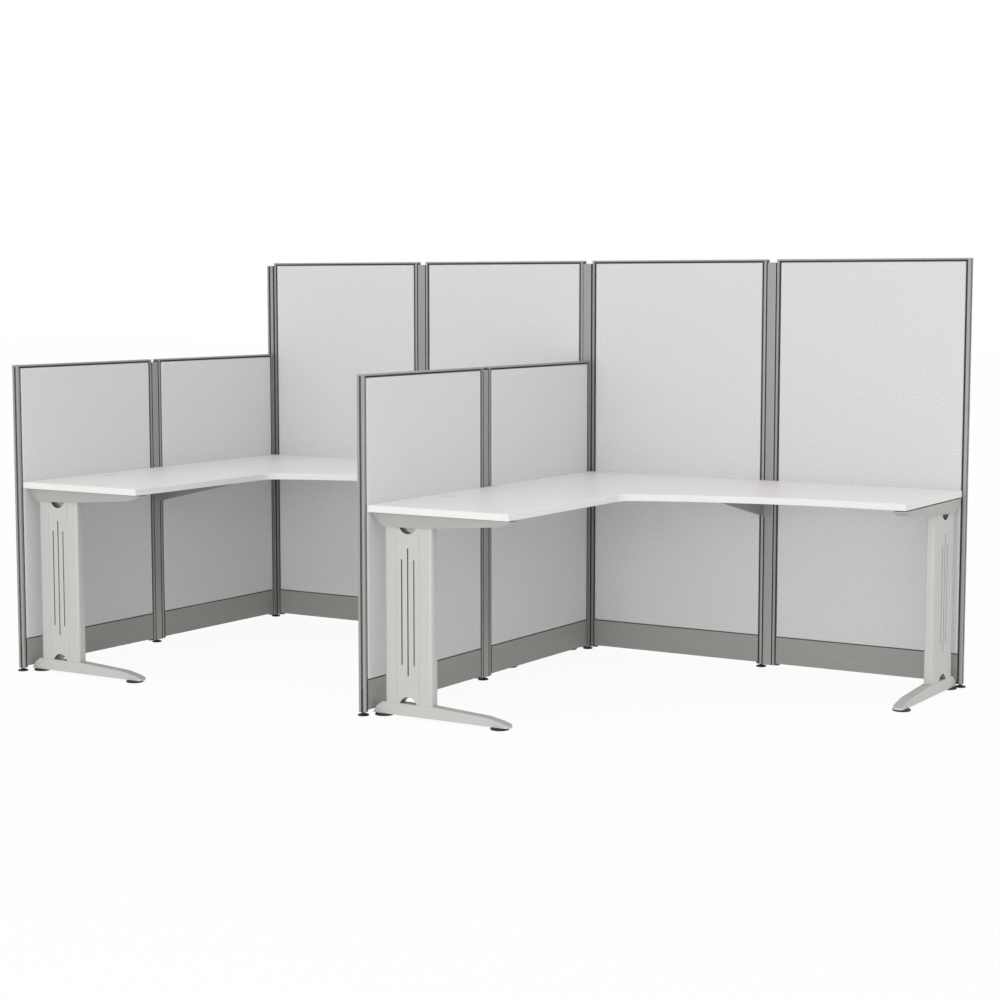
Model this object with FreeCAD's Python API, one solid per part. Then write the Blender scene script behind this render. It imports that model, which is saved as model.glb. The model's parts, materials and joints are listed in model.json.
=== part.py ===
import FreeCAD, Part
import math
import os

# Two-bay cubicle workstation in millimetres, +Z up, +X to the right along the back wall, +Y to the back.
# Sizes are first laid out from the tee post, where the divider meets the back wall, and every piece is then
# moved so that the origin is the centre of the outer box on the floor.

V = FreeCAD.Vector
UP = V(0, 0, 1)
ALONG = V(1, 0, 0)
CUT = 5.0  # overrun of every cutting tool past the face it enters
CLOSE = 0.01  # how far an edge may leave a plane and still count as lying in it

# Facets of round forms
ARC_SAG = 0.3  # how far a faceted arc may leave the true one
ROUND_SIDES = 16  # of discs and grommets
OUTLET_SIDES = 24
STEM_SIDES = 12  # of stems, their bores and bosses, and pads
SCREW_SIDES = 8
HEXAGON = 6

# Walls
PITCH = 820.0  # centre to centre of neighbouring posts
WALL_THICKNESS = 30.0
TALL_TOP = 1608.0
LOW_TOP = 1200.0
FRAME_BOTTOM = 12.0  # underside of stiles and posts, carried by the levelling feet
SEAM = 2.0  # between a post and the stile beside it

# Post extrusion
POST_WIDTH = 40.0
POST_DROP = 12.0  # top of the post cap below the top of the screens
POST_RADIUS = 5.0
POST_WALL = 2.0
CORNER_POST_RADIUS = 6.0
INSERT_WIDTH = 14.0  # square core hole of the post, filled by the foot's insert at its lower end
SLOT_MOUTH_WIDTH = 9.0
SLOT_LIP = 2.5
SLOT_WIDTH = 12.0  # of the undercut behind the lips
POST_SLOT_DEPTH = 5.0  # of the undercut, behind the lips
CAP_THICKNESS = 3.0
CAP_PLUG_LENGTH = 10.0
CAP_PLUG_CLEARANCE = 0.2

# Stile extrusion of a screen frame, measured inwards from its outer end
STILE_LIP = 10.0  # strip that shows beside the groove
STILE_RADIUS = 2.5
STILE_SLOT_DEPTH = 11.0  # of the undercut, behind the lips
STILE_WALL = 2.0
STILE_WIDTH = 26.0
WEB_THICKNESS = 16.0  # of the frame behind the tiles

# Rails of a screen frame
TOP_LIP = 6.0
TOP_RAIL_RADIUS = 2.5
TOP_RAIL_HEIGHT = 26.0
TOP_GROOVE = 6.0
RAIL_WALL = 2.0
BASE_RAIL_BOTTOM = 102.0
BASE_RAIL_TOP = 134.0

# Fabric tiles
GROOVE = 7.0  # shadow gap between a stile's strip and a tile
TILE_BOTTOM = 128.0
TILE_BEVEL = 10.0
TILE_BEVEL_DEPTH = 5.5

# Kick plates, pressed from sheet
KICK_BOTTOM = 20.0
KICK_TOP = 125.0
KICK_SHEET = 1.5
KICK_BOTTOM_FLANGE = 6.0

# Link strips in the slots between posts and stiles
LINK_NECK_CLEARANCE = 0.2
LINK_HEAD_CLEARANCE = 0.2
LINK_BOTTOM = 100.0
LINK_DROP = 60.0  # upper end below the post's top

# Levelling feet of the walls
FOOT_RADIUS = 20.0
FOOT_DISC = 4.0
FOOT_CONE = 2.0
FOOT_TOP_RADIUS = 17.0
FOOT_NUT_ACROSS = 13.0
FOOT_STEM_RADIUS = 4.0
FOOT_STEM_TOP = 75.0
INSERT_TOP = 90.0
SCREW_CLEARANCE = 0.05

# Desktops, placed from the crossing of the bay's two wall centre planes
DESK_TOP = 746.0
DESK_THICKNESS = 25.0
DESK_GAP = 1.0  # from the face of the wall
DESK_RIGHT_INSET = 33.0  # of the right edge, from two pitches
DESK_FRONT_INSET = 32.0  # of the front end, from two pitches
MAIN_DEPTH = 598.0
RETURN_REACH = 596.0
FRONT_ARC_INSET = 107.0  # straight part of the front edge, from the right edge
FRONT_ARC_RADIUS = 2070.0
INNER_RADIUS = 70.0
DESK_CORNER_RADIUS = 6.0
BACK_CORNER_CUT = 32.0
DESK_BEVEL = 2.0

# Cable grommets in the returns
GROMMET_X = 100.0
GROMMET_INSET = 408.0  # from the front end
GROMMET_RADIUS = 30.0
GROMMET_FLANGE = 4.0
GROMMET_FLANGE_THICKNESS = 1.5  # let into the desktop, flush with its top
GROMMET_WALL = 2.0  # round the lid
GROMMET_LEDGE = 2.5  # width of the step that carries the lid
GROMMET_CLEARANCE = 0.3
GROMMET_LID = 2.5
GROMMET_DEPTH = 20.0

# C-legs, placed along their own length from the centre plane of the wall behind them
RETURN_LEG_INSET = 51.0  # of the leg's centre plane, from the desktop's front end
END_LEG_INSET = 27.0  # of the leg's centre plane, from the desktop's right edge
LEG_START = 17.0
LEG_SPACER = 4.0
BEAM_WIDTH = 50.0
BEAM_SHEET = 2.5
BEAM_LENGTH = 573.0
BEAM_DEPTH = 42.0  # at the column's outer edge
BEAM_BELLY_RADIUS = 300.0
BEAM_HEEL = 50.0  # length of the rounded end near the wall
BEAM_HEEL_DEPTH = 47.0  # at its deepest, in front of the rounded end
BEAM_HEEL_RADIUS = 40.0
BEAM_TIP = 50.0  # length of the solid nose
BEAM_TIP_DEPTH = 21.0
BEAM_TIP_RADIUS = 60.0
BEAM_NOSE = 4.0  # height of the blunt front end
LEG_FOOT_WIDTH = 40.0
LEG_FOOT_SHEET = 3.0
LEG_FOOT_BOTTOM = 9.0
LEG_FOOT_TOP = 52.0
LEG_FOOT_LENGTH = 559.0
LEG_FOOT_NOSE_RADIUS = 14.0
LEG_FOOT_BEVEL = 1.5
HEEL_KNEE = 15.0  # first bend of the heel, from its end
HEEL_KNEE_TOP = 34.0
HEEL_LENGTH = 42.0
HEEL_RADIUS = 12.0
TOE_NOSE = 8.0  # height of the blunt tip
TOE_NOSE_RADIUS = 6.0
TOE_BROW = 32.0  # last bend of the toe, from the tip
TOE_BROW_TOP = 28.0
TOE_BROW_RADIUS = 30.0
TOE_KNEE = 90.0  # where the toe starts to fall, from the tip
TOE_KNEE_TOP = 39.0
TOE_KNEE_RADIUS = 120.0
COLUMN_START = 67.0
COLUMN_WIDTH = 200.0
COLUMN_DEPTH = 36.0
COLUMN_RADIUS = 12.0  # wide bend at the outer front edge of each upright
COLUMN_REAR_RADIUS = 4.0
UPRIGHT_WALL = 2.0
COVER_WIDTH = 95.0
COVER_SEAM = 0.5  # between a cover and the upright beside it
COVER_SHEET = 2.0
COVER_TOP = 690.0
REAR_COVER_BOTTOM = 82.0
REAR_COVER_TOP = 640.0

# Slots and cable outlets pressed into the front cover
COLUMN_SLOT_WIDTH = 5.0
COLUMN_SLOT_SPACING = 25.5
SLOT_END_SHARE = 0.98  # radius of a slot's end corners, as a share of half its width
OUTER_SLOT_BOTTOM = 188.0
OUTER_SLOT_TOP = 560.0
MIDDLE_SLOT_BOTTOM = 150.0
MIDDLE_SLOT_TOP = 600.0
OUTLET_RADIUS = 30.0
LOWER_OUTLET_CENTRE = 44.0
UPPER_OUTLET_CENTRE = 679.0

# Glides under the C-legs
GLIDE_RADIUS = 33.0
GLIDE_DISC = 5.0
GLIDE_TOP_RADIUS = 28.0
GLIDE_STEM_TOP = 25.0
GLIDE_BORE_TOP = 26.0
GLIDE_BOSS_RADIUS = 9.0
REAR_GLIDE = 53.0
FRONT_GLIDE = 532.0

# Cantilever brackets in the seam beside a middle post
BRACKET_REACH = 400.0
BRACKET_ROOT_HEIGHT = 118.0
BRACKET_TIP_HEIGHT = 28.0
BRACKET_FLANGE_WIDTH = 36.0
BRACKET_FLANGE = 3.0
BRACKET_TONGUE = 10.0  # in the seam, short of the link strip
BRACKET_BACK_WIDTH = 30.0

# Screws and pads under the desktops
SCREW_RADIUS = 2.5
SCREW_HEAD_RADIUS = 5.0
SCREW_HEAD = 3.0
SCREW_BITE = 15.0
SCREW_HOLE_CLEARANCE = 0.3
PAD_RADIUS = 15.0
SCREW_INSET = 60.0  # from either end of a bracket's flange

# Worked out from the sizes above
HALF_WALL = WALL_THICKNESS / 2
HALF_POST = POST_WIDTH / 2
HALF_WEB = WEB_THICKNESS / 2
SCREEN_LENGTH = PITCH - POST_WIDTH - 2 * SEAM
SCREEN_OFFSET = HALF_POST + SEAM
TILE_INSET = STILE_LIP + GROOVE
STILE_SLOT_END = SLOT_LIP + STILE_SLOT_DEPTH
FOOT_INSET = SLOT_LIP + STILE_SLOT_DEPTH / 2
DESK_UNDERSIDE = DESK_TOP - DESK_THICKNESS
DESK_START = HALF_WALL + DESK_GAP
DESK_RIGHT = 2 * PITCH - DESK_RIGHT_INSET
DESK_FRONT = 2 * PITCH - DESK_FRONT_INSET
FRONT_ARC_START = DESK_RIGHT - FRONT_ARC_INSET
GROMMET_Y = DESK_FRONT - GROMMET_INSET
RETURN_LEG_PLANE = DESK_FRONT - RETURN_LEG_INSET
END_LEG_PLANE = DESK_RIGHT - END_LEG_INSET
BEAM_TOP = DESK_UNDERSIDE - LEG_SPACER
COLUMN_CENTRE = COLUMN_START + COLUMN_WIDTH / 2
WALL_RUN = 2 * PITCH  # from the corner post to the tee post
WALL_END = 2 * PITCH - SCREEN_OFFSET  # free end of every wall, from the tee post
LEFT_EDGE = -WALL_RUN - FOOT_RADIUS
RIGHT_EDGE = WALL_END - FOOT_INSET + FOOT_RADIUS
BACK_EDGE = FOOT_RADIUS
FRONT_EDGE = -WALL_END + FOOT_INSET - FOOT_RADIUS
ORIGIN = V((LEFT_EDGE + RIGHT_EDGE) / 2, (FRONT_EDGE + BACK_EDGE) / 2, 0)


# Plain solids and outlines

def box(x0, x1, y0, y1, z0, z1):
    """Box between two corners."""
    return Part.makeBox(x1 - x0, y1 - y0, z1 - z0, V(x0, y0, z0))


def arc_points(centre, radius, start, turn):
    """Points of a faceted arc, from a start angle through a turn, both in radians."""
    step = 2 * math.acos(1 - ARC_SAG / radius)
    count = max(2, math.ceil(abs(turn) / step))
    angles = [start + turn * i / count for i in range(count + 1)]
    return [centre + V(radius * math.cos(angle), radius * math.sin(angle), 0) for angle in angles]


def rounded_wire(points):
    """Closed wire through corners given as (x, y) or (x, y, radius), each radius a faceted tangent arc."""
    outline = []
    for index, point in enumerate(points):
        here = V(point[0], point[1], 0)
        radius = point[2] if len(point) > 2 else 0
        if radius == 0:
            outline.append(here)
            continue
        before = points[index - 1]
        after = points[(index + 1) % len(points)]
        back = (V(before[0], before[1], 0) - here).normalize()
        ahead = (V(after[0], after[1], 0) - here).normalize()
        half_angle = back.getAngle(ahead) / 2
        reach = radius / math.tan(half_angle)
        centre = here + (back + ahead).normalize() * (radius / math.sin(half_angle))
        first = here + back * reach - centre
        last = here + ahead * reach - centre
        start = math.atan2(first.y, first.x)
        turn = math.remainder(math.atan2(last.y, last.x) - start, 2 * math.pi)
        outline += arc_points(centre, radius, start, turn)
    return Part.makePolygon(outline + [outline[0]])


def ring(radius, sides):
    """Corners of a regular outline round the zero point."""
    angles = [2 * math.pi * i / sides for i in range(sides)]
    return [(radius * math.cos(angle), radius * math.sin(angle)) for angle in angles]


def plan_prism(points, z0, z1):
    """Upright prism of a plan outline."""
    face = Part.Face(rounded_wire(points))
    face.translate(V(0, 0, z0))
    return face.extrude(V(0, 0, z1 - z0))


def side_prism(points, y0, y1):
    """Prism of an outline drawn in X and Z, from y0 to y1."""
    face = Part.Face(rounded_wire(points))
    face.translate(V(0, 0, -y1))
    solid = face.extrude(V(0, 0, y1 - y0))
    solid.rotate(V(0, 0, 0), ALONG, 90)
    return solid


def end_prism(points, x0, x1):
    """Prism of an outline drawn in Y and Z, from x0 to x1."""
    face = Part.Face(rounded_wire(points))
    solid = face.extrude(V(0, 0, x1 - x0))
    solid.rotate(V(0, 0, 0), V(1, 1, 1), 120)
    solid.translate(V(x0, 0, 0))
    return solid


def round_bar(x, y, radius, sides, z0, z1):
    """Upright many-sided bar, used for bores, bosses, stems and pads."""
    bar = plan_prism(ring(radius, sides), z0, z1)
    bar.translate(V(x, y, 0))
    return bar


def round_cone(lower, upper, z0, z1):
    """Upright frustum with the sides of a disc, round the zero point."""
    wires = [rounded_wire(ring(lower, ROUND_SIDES)), rounded_wire(ring(upper, ROUND_SIDES))]
    wires[0].translate(V(0, 0, z0))
    wires[1].translate(V(0, 0, z1))
    return Part.makeLoft(wires, True, True)


def rectangle(x0, x1, y0, y1, radius=0):
    """Corners of a rectangle with one radius all round."""
    return [(x0, y0, radius), (x1, y0, radius), (x1, y1, radius), (x0, y1, radius)]


def set_down(shape, x, y, turn=0):
    """Copy of a shape turned about the upright axis through its zero point, then moved."""
    placed = shape.copy()
    placed.rotate(V(0, 0, 0), UP, turn)
    placed.translate(V(x, y, 0))
    return placed


def mirrored(shape, x):
    """Mirror image across the plane at x, as a true solid."""
    return shape.mirror(V(x, 0, 0), ALONG)


# Screen frames

def stile(top):
    """Slotted stile at the left end of a screen: strip, shadow groove floor, outer T-slot and chamber."""
    mouth = SLOT_MOUTH_WIDTH / 2
    slot = SLOT_WIDTH / 2
    outline = [
        (0, HALF_WALL, STILE_RADIUS),
        (0, mouth),
        (SLOT_LIP, mouth),
        (SLOT_LIP, slot),
        (STILE_SLOT_END, slot),
        (STILE_SLOT_END, -slot),
        (SLOT_LIP, -slot),
        (SLOT_LIP, -mouth),
        (0, -mouth),
        (0, -HALF_WALL, STILE_RADIUS),
        (STILE_LIP, -HALF_WALL),
        (STILE_LIP, -HALF_WEB),
        (STILE_WIDTH, -HALF_WEB),
        (STILE_WIDTH, HALF_WEB),
        (STILE_LIP, HALF_WEB),
        (STILE_LIP, HALF_WALL),
    ]
    bar = plan_prism(outline, FRAME_BOTTOM, top - TOP_LIP)
    chamber = box(STILE_SLOT_END + STILE_WALL, STILE_WIDTH - STILE_WALL,
                  -HALF_WEB + STILE_WALL, HALF_WEB - STILE_WALL, FRAME_BOTTOM - CUT, top)
    return bar.cut(chamber)


def top_rail(top):
    """Top rail: a cap strip over the whole screen and a hollow web between the stiles."""
    strip = end_prism([
        (-HALF_WALL, top - TOP_LIP),
        (HALF_WALL, top - TOP_LIP),
        (HALF_WALL, top, TOP_RAIL_RADIUS),
        (-HALF_WALL, top, TOP_RAIL_RADIUS),
    ], 0, SCREEN_LENGTH)
    web_bottom = top - TOP_RAIL_HEIGHT
    web = box(STILE_WIDTH, SCREEN_LENGTH - STILE_WIDTH, -HALF_WEB, HALF_WEB, web_bottom, top - TOP_LIP)
    chamber = box(STILE_WIDTH - CUT, SCREEN_LENGTH - STILE_WIDTH + CUT,
                  -HALF_WEB + RAIL_WALL, HALF_WEB - RAIL_WALL,
                  web_bottom + RAIL_WALL, top - TOP_LIP)
    return strip.fuse(web.cut(chamber)).removeSplitter()


def base_rail():
    """Hollow base rail between the stiles, which carries the kick plates' top flanges."""
    rail = box(STILE_WIDTH, SCREEN_LENGTH - STILE_WIDTH, -HALF_WEB, HALF_WEB, BASE_RAIL_BOTTOM, BASE_RAIL_TOP)
    chamber = box(STILE_WIDTH - CUT, SCREEN_LENGTH - STILE_WIDTH + CUT,
                  -HALF_WEB + RAIL_WALL, HALF_WEB - RAIL_WALL,
                  BASE_RAIL_BOTTOM + RAIL_WALL, BASE_RAIL_TOP - RAIL_WALL)
    return rail.cut(chamber)


def screen_frame(top):
    """The four members of one screen frame."""
    left = stile(top)
    return [left, mirrored(left, SCREEN_LENGTH / 2), top_rail(top), base_rail()]


def front_tile(top):
    """Fabric tile on the front face, with its rolled edge as a bevel."""
    x0 = TILE_INSET
    x1 = SCREEN_LENGTH - TILE_INSET
    z1 = top - TOP_LIP - TOP_GROOVE
    shoulder = -HALF_WALL + TILE_BEVEL_DEPTH
    board = box(x0, x1, shoulder, -HALF_WEB, TILE_BOTTOM, z1)
    lower = Part.makePolygon([V(x0, shoulder, TILE_BOTTOM), V(x1, shoulder, TILE_BOTTOM),
                              V(x1, shoulder, z1), V(x0, shoulder, z1), V(x0, shoulder, TILE_BOTTOM)])
    upper = Part.makePolygon([V(x0 + TILE_BEVEL, -HALF_WALL, TILE_BOTTOM + TILE_BEVEL),
                              V(x1 - TILE_BEVEL, -HALF_WALL, TILE_BOTTOM + TILE_BEVEL),
                              V(x1 - TILE_BEVEL, -HALF_WALL, z1 - TILE_BEVEL),
                              V(x0 + TILE_BEVEL, -HALF_WALL, z1 - TILE_BEVEL),
                              V(x0 + TILE_BEVEL, -HALF_WALL, TILE_BOTTOM + TILE_BEVEL)])
    pillow = Part.makeLoft([lower, upper], True, True)
    return board.fuse(pillow).removeSplitter()


def screen_tiles(top):
    """Front and rear tiles."""
    front = front_tile(top)
    return [front, front.mirror(V(0, 0, 0), V(0, 1, 0))]


def screen_core(top):
    """Core board that fills the frame and backs both tiles."""
    return [box(STILE_WIDTH, SCREEN_LENGTH - STILE_WIDTH, -HALF_WEB, HALF_WEB,
                BASE_RAIL_TOP, top - TOP_RAIL_HEIGHT)]


def kick_plates():
    """Front and rear kick plates: pressed sheet with a top flange on the rail and a short bottom flange."""
    front = end_prism([
        (-HALF_WEB, KICK_TOP),
        (-HALF_WALL, KICK_TOP),
        (-HALF_WALL, KICK_BOTTOM),
        (-HALF_WALL + KICK_BOTTOM_FLANGE, KICK_BOTTOM),
        (-HALF_WALL + KICK_BOTTOM_FLANGE, KICK_BOTTOM + KICK_SHEET),
        (-HALF_WALL + KICK_SHEET, KICK_BOTTOM + KICK_SHEET),
        (-HALF_WALL + KICK_SHEET, KICK_TOP - KICK_SHEET),
        (-HALF_WEB, KICK_TOP - KICK_SHEET),
    ], TILE_INSET, SCREEN_LENGTH - TILE_INSET)
    return [front, front.mirror(V(0, 0, 0), V(0, 1, 0))]


# Posts

def slot_cut(upper_end):
    """T-slot from the foot of a post up to its upper end, in the face that looks along +X."""
    mouth = box(HALF_POST - SLOT_LIP, HALF_POST + CUT, -SLOT_MOUTH_WIDTH / 2, SLOT_MOUTH_WIDTH / 2,
                FRAME_BOTTOM - CUT, upper_end)
    floor = HALF_POST - SLOT_LIP - POST_SLOT_DEPTH
    undercut = box(floor, HALF_POST - SLOT_LIP, -SLOT_WIDTH / 2, SLOT_WIDTH / 2,
                   FRAME_BOTTOM - CUT, upper_end)
    return mouth.fuse(undercut)


def post(outline, slots, chambers, height):
    """Post extrusion: an outline, T-slots given by turn and upper end, a square core hole and side chambers."""
    bar = plan_prism(outline, FRAME_BOTTOM, height)
    for turn, upper_end in slots:
        bar = bar.cut(set_down(slot_cut(upper_end), 0, 0, turn))
    core = INSERT_WIDTH / 2
    bar = bar.cut(box(-core, core, -core, core, FRAME_BOTTOM - CUT, height + CUT))
    for x0, x1, y0, y1 in chambers:
        bar = bar.cut(box(x0, x1, y0, y1, FRAME_BOTTOM - CUT, height + CUT))
    return bar


SIDE_CHAMBER = INSERT_WIDTH / 2 + POST_WALL  # inner wall of the chambers, from the post's centre
REAR_CHAMBER = (-HALF_POST + 2 * POST_WALL, HALF_POST - 2 * POST_WALL, SIDE_CHAMBER, HALF_WALL - POST_WALL)
INLINE_OUTLINE = rectangle(-HALF_POST, HALF_POST, -HALF_WALL, HALF_WALL, POST_RADIUS)
TEE_OUTLINE = rectangle(-HALF_POST, HALF_POST, -HALF_POST, HALF_WALL, POST_RADIUS)
CORNER_OUTLINE = [
    (-HALF_WALL, -HALF_POST, POST_RADIUS),
    (HALF_POST, -HALF_POST, POST_RADIUS),
    (HALF_POST, HALF_WALL, POST_RADIUS),
    (-HALF_WALL, HALF_WALL, CORNER_POST_RADIUS),
]


def inline_post(top):
    """Post between two screens in line, flush with both faces."""
    front_chamber = (REAR_CHAMBER[0], REAR_CHAMBER[1], -REAR_CHAMBER[3], -REAR_CHAMBER[2])
    slots = [(turn, top) for turn in (0, 180)]
    return post(INLINE_OUTLINE, slots, (REAR_CHAMBER, front_chamber), top - POST_DROP - CAP_THICKNESS)


def tee_post(top):
    """Post where the divider meets the back wall; its front slot stops at the top of the divider's stile."""
    slots = [(0, top), (180, top), (-90, LOW_TOP - TOP_LIP)]
    return post(TEE_OUTLINE, slots, (REAR_CHAMBER,), top - POST_DROP - CAP_THICKNESS)


def corner_post(top):
    """Post where the left wall meets the back wall, with the larger radius on its outer corner."""
    rear = (-SIDE_CHAMBER, REAR_CHAMBER[1], REAR_CHAMBER[2], REAR_CHAMBER[3])
    outer = (-HALF_WALL + POST_WALL, -SIDE_CHAMBER, -HALF_POST + 2 * POST_WALL, SIDE_CHAMBER - POST_WALL)
    slots = [(turn, top) for turn in (0, -90)]
    return post(CORNER_OUTLINE, slots, (rear, outer), top - POST_DROP - CAP_THICKNESS)


def post_cap(outline, top):
    """Cap on a post, with a plug in the core hole."""
    under = top - POST_DROP - CAP_THICKNESS
    plug = INSERT_WIDTH / 2 - CAP_PLUG_CLEARANCE
    plate = plan_prism(outline, under, top - POST_DROP)
    return plate.fuse(box(-plug, plug, -plug, plug, under - CAP_PLUG_LENGTH, under))


def link_strip(z1):
    """Double-headed strip that slides into the slots of a post and a stile; zero is the post's face."""
    neck = SLOT_MOUTH_WIDTH / 2 - LINK_NECK_CLEARANCE
    head = SLOT_WIDTH / 2 - LINK_HEAD_CLEARANCE
    depth = POST_SLOT_DEPTH - LINK_HEAD_CLEARANCE
    post_side = -SLOT_LIP
    stile_side = SEAM + SLOT_LIP
    return plan_prism([
        (post_side - depth, -head),
        (post_side, -head),
        (post_side, -neck),
        (stile_side, -neck),
        (stile_side, -head),
        (stile_side + depth, -head),
        (stile_side + depth, head),
        (stile_side, head),
        (stile_side, neck),
        (post_side, neck),
        (post_side, head),
        (post_side - depth, head),
    ], LINK_BOTTOM, z1)


# Levelling feet

def foot():
    """Levelling foot: disc with a coned top, hexagon nut and plain stem, wound fully in."""
    cone_top = FOOT_DISC + FOOT_CONE
    disc = round_bar(0, 0, FOOT_RADIUS, ROUND_SIDES, 0, FOOT_DISC)
    cone = round_cone(FOOT_RADIUS, FOOT_TOP_RADIUS, FOOT_DISC, cone_top)
    nut = round_bar(0, 0, FOOT_NUT_ACROSS / math.sqrt(3), HEXAGON, cone_top, FRAME_BOTTOM)
    stem = round_bar(0, 0, FOOT_STEM_RADIUS, STEM_SIDES, FRAME_BOTTOM, FOOT_STEM_TOP)
    return disc.fuse([cone, nut, stem])


def stem_bore(x, y):
    """Running bore for a foot's stem."""
    return round_bar(x, y, FOOT_STEM_RADIUS + SCREW_CLEARANCE, STEM_SIDES, FRAME_BOTTOM - CUT, INSERT_TOP + CUT)


def post_insert():
    """Threaded insert in the core hole of a post."""
    core = INSERT_WIDTH / 2
    return box(-core, core, -core, core, FRAME_BOTTOM, INSERT_TOP).cut(stem_bore(0, 0))


def stile_insert():
    """Threaded insert in the outer slot of a stile; zero is the stem's axis."""
    depth = STILE_SLOT_DEPTH / 2
    slot = SLOT_WIDTH / 2
    return box(-depth, depth, -slot, slot, FRAME_BOTTOM, INSERT_TOP).cut(stem_bore(0, 0))


# Desktops

def desktop_outline():
    """Plan of one L-shaped top: straight back edges, a long curved front and a rounded inner corner."""
    front_centre = V(FRONT_ARC_START, -MAIN_DEPTH - FRONT_ARC_RADIUS, 0)
    inner_x = RETURN_REACH + INNER_RADIUS
    drop = FRONT_ARC_RADIUS - INNER_RADIUS
    inner_y = front_centre.y + math.sqrt(drop ** 2 - (inner_x - front_centre.x) ** 2)
    joint = math.atan2(inner_y - front_centre.y, inner_x - front_centre.x)
    front = arc_points(front_centre, FRONT_ARC_RADIUS, math.pi / 2, joint - math.pi / 2)
    inner = arc_points(V(inner_x, inner_y, 0), INNER_RADIUS, joint, math.pi - joint)
    return [
        (BACK_CORNER_CUT, -DESK_START),
        (DESK_RIGHT, -DESK_START, DESK_CORNER_RADIUS),
        (DESK_RIGHT, -MAIN_DEPTH, DESK_CORNER_RADIUS),
        *[(place.x, place.y) for place in front + inner[1:]],
        (RETURN_REACH, -DESK_FRONT, DESK_CORNER_RADIUS),
        (DESK_START, -DESK_FRONT, DESK_CORNER_RADIUS),
        (DESK_START, -BACK_CORNER_CUT),
    ]


def desktop(screw_places):
    """L-shaped top with bevelled edges, screw pilots from below and the grommet's hole."""
    board = plan_prism(desktop_outline(), DESK_UNDERSIDE, DESK_TOP)
    rims = [edge for edge in board.Edges if edge.BoundBox.ZLength < CLOSE]
    board = board.makeChamfer(DESK_BEVEL, rims)
    rebate = GROMMET_RADIUS + GROMMET_FLANGE + GROMMET_CLEARANCE
    tools = [
        round_bar(GROMMET_X, -GROMMET_Y, GROMMET_RADIUS, ROUND_SIDES, DESK_UNDERSIDE - CUT, DESK_TOP + CUT),
        round_bar(GROMMET_X, -GROMMET_Y, rebate, ROUND_SIDES, DESK_TOP - GROMMET_FLANGE_THICKNESS, DESK_TOP + CUT),
    ]
    for x, y in screw_places:
        tools.append(round_bar(x, y, SCREW_RADIUS + SCREW_HOLE_CLEARANCE, SCREW_SIDES, DESK_UNDERSIDE - CUT,
                               DESK_UNDERSIDE + SCREW_BITE + SCREW_HOLE_CLEARANCE))
    return board.cut(tools)


def grommet():
    """Cable grommet: flanged sleeve in the desktop and a lid on the step inside it."""
    outer = GROMMET_RADIUS - GROMMET_CLEARANCE
    recess = outer - GROMMET_WALL
    inner = recess - GROMMET_LEDGE
    bottom = DESK_TOP - GROMMET_DEPTH
    step = DESK_TOP - GROMMET_LID
    sleeve = round_bar(0, 0, outer, ROUND_SIDES, bottom, DESK_TOP)
    flange = round_bar(0, 0, GROMMET_RADIUS + GROMMET_FLANGE, ROUND_SIDES, DESK_TOP - GROMMET_FLANGE_THICKNESS,
                       DESK_TOP)
    collar = sleeve.fuse(flange).cut([
        round_bar(0, 0, inner, ROUND_SIDES, bottom - CUT, DESK_TOP + CUT),
        round_bar(0, 0, recess, ROUND_SIDES, step, DESK_TOP + CUT),
    ]).removeSplitter()
    lid = round_bar(0, 0, recess - GROMMET_CLEARANCE, ROUND_SIDES, step, DESK_TOP)
    return [collar, lid]


# C-legs, drawn along +X with their outer face towards -Y

LEG_TIP = LEG_START + LEG_FOOT_LENGTH
BEAM_END = LEG_START + BEAM_LENGTH
COLUMN_END = COLUMN_START + COLUMN_WIDTH
HALF_COLUMN = COLUMN_DEPTH / 2


def glide_bore(x):
    """Running bore for a glide's stem."""
    return round_bar(x, 0, FOOT_STEM_RADIUS + SCREW_CLEARANCE, STEM_SIDES, LEG_FOOT_BOTTOM - CUT, GLIDE_BORE_TOP)


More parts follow.
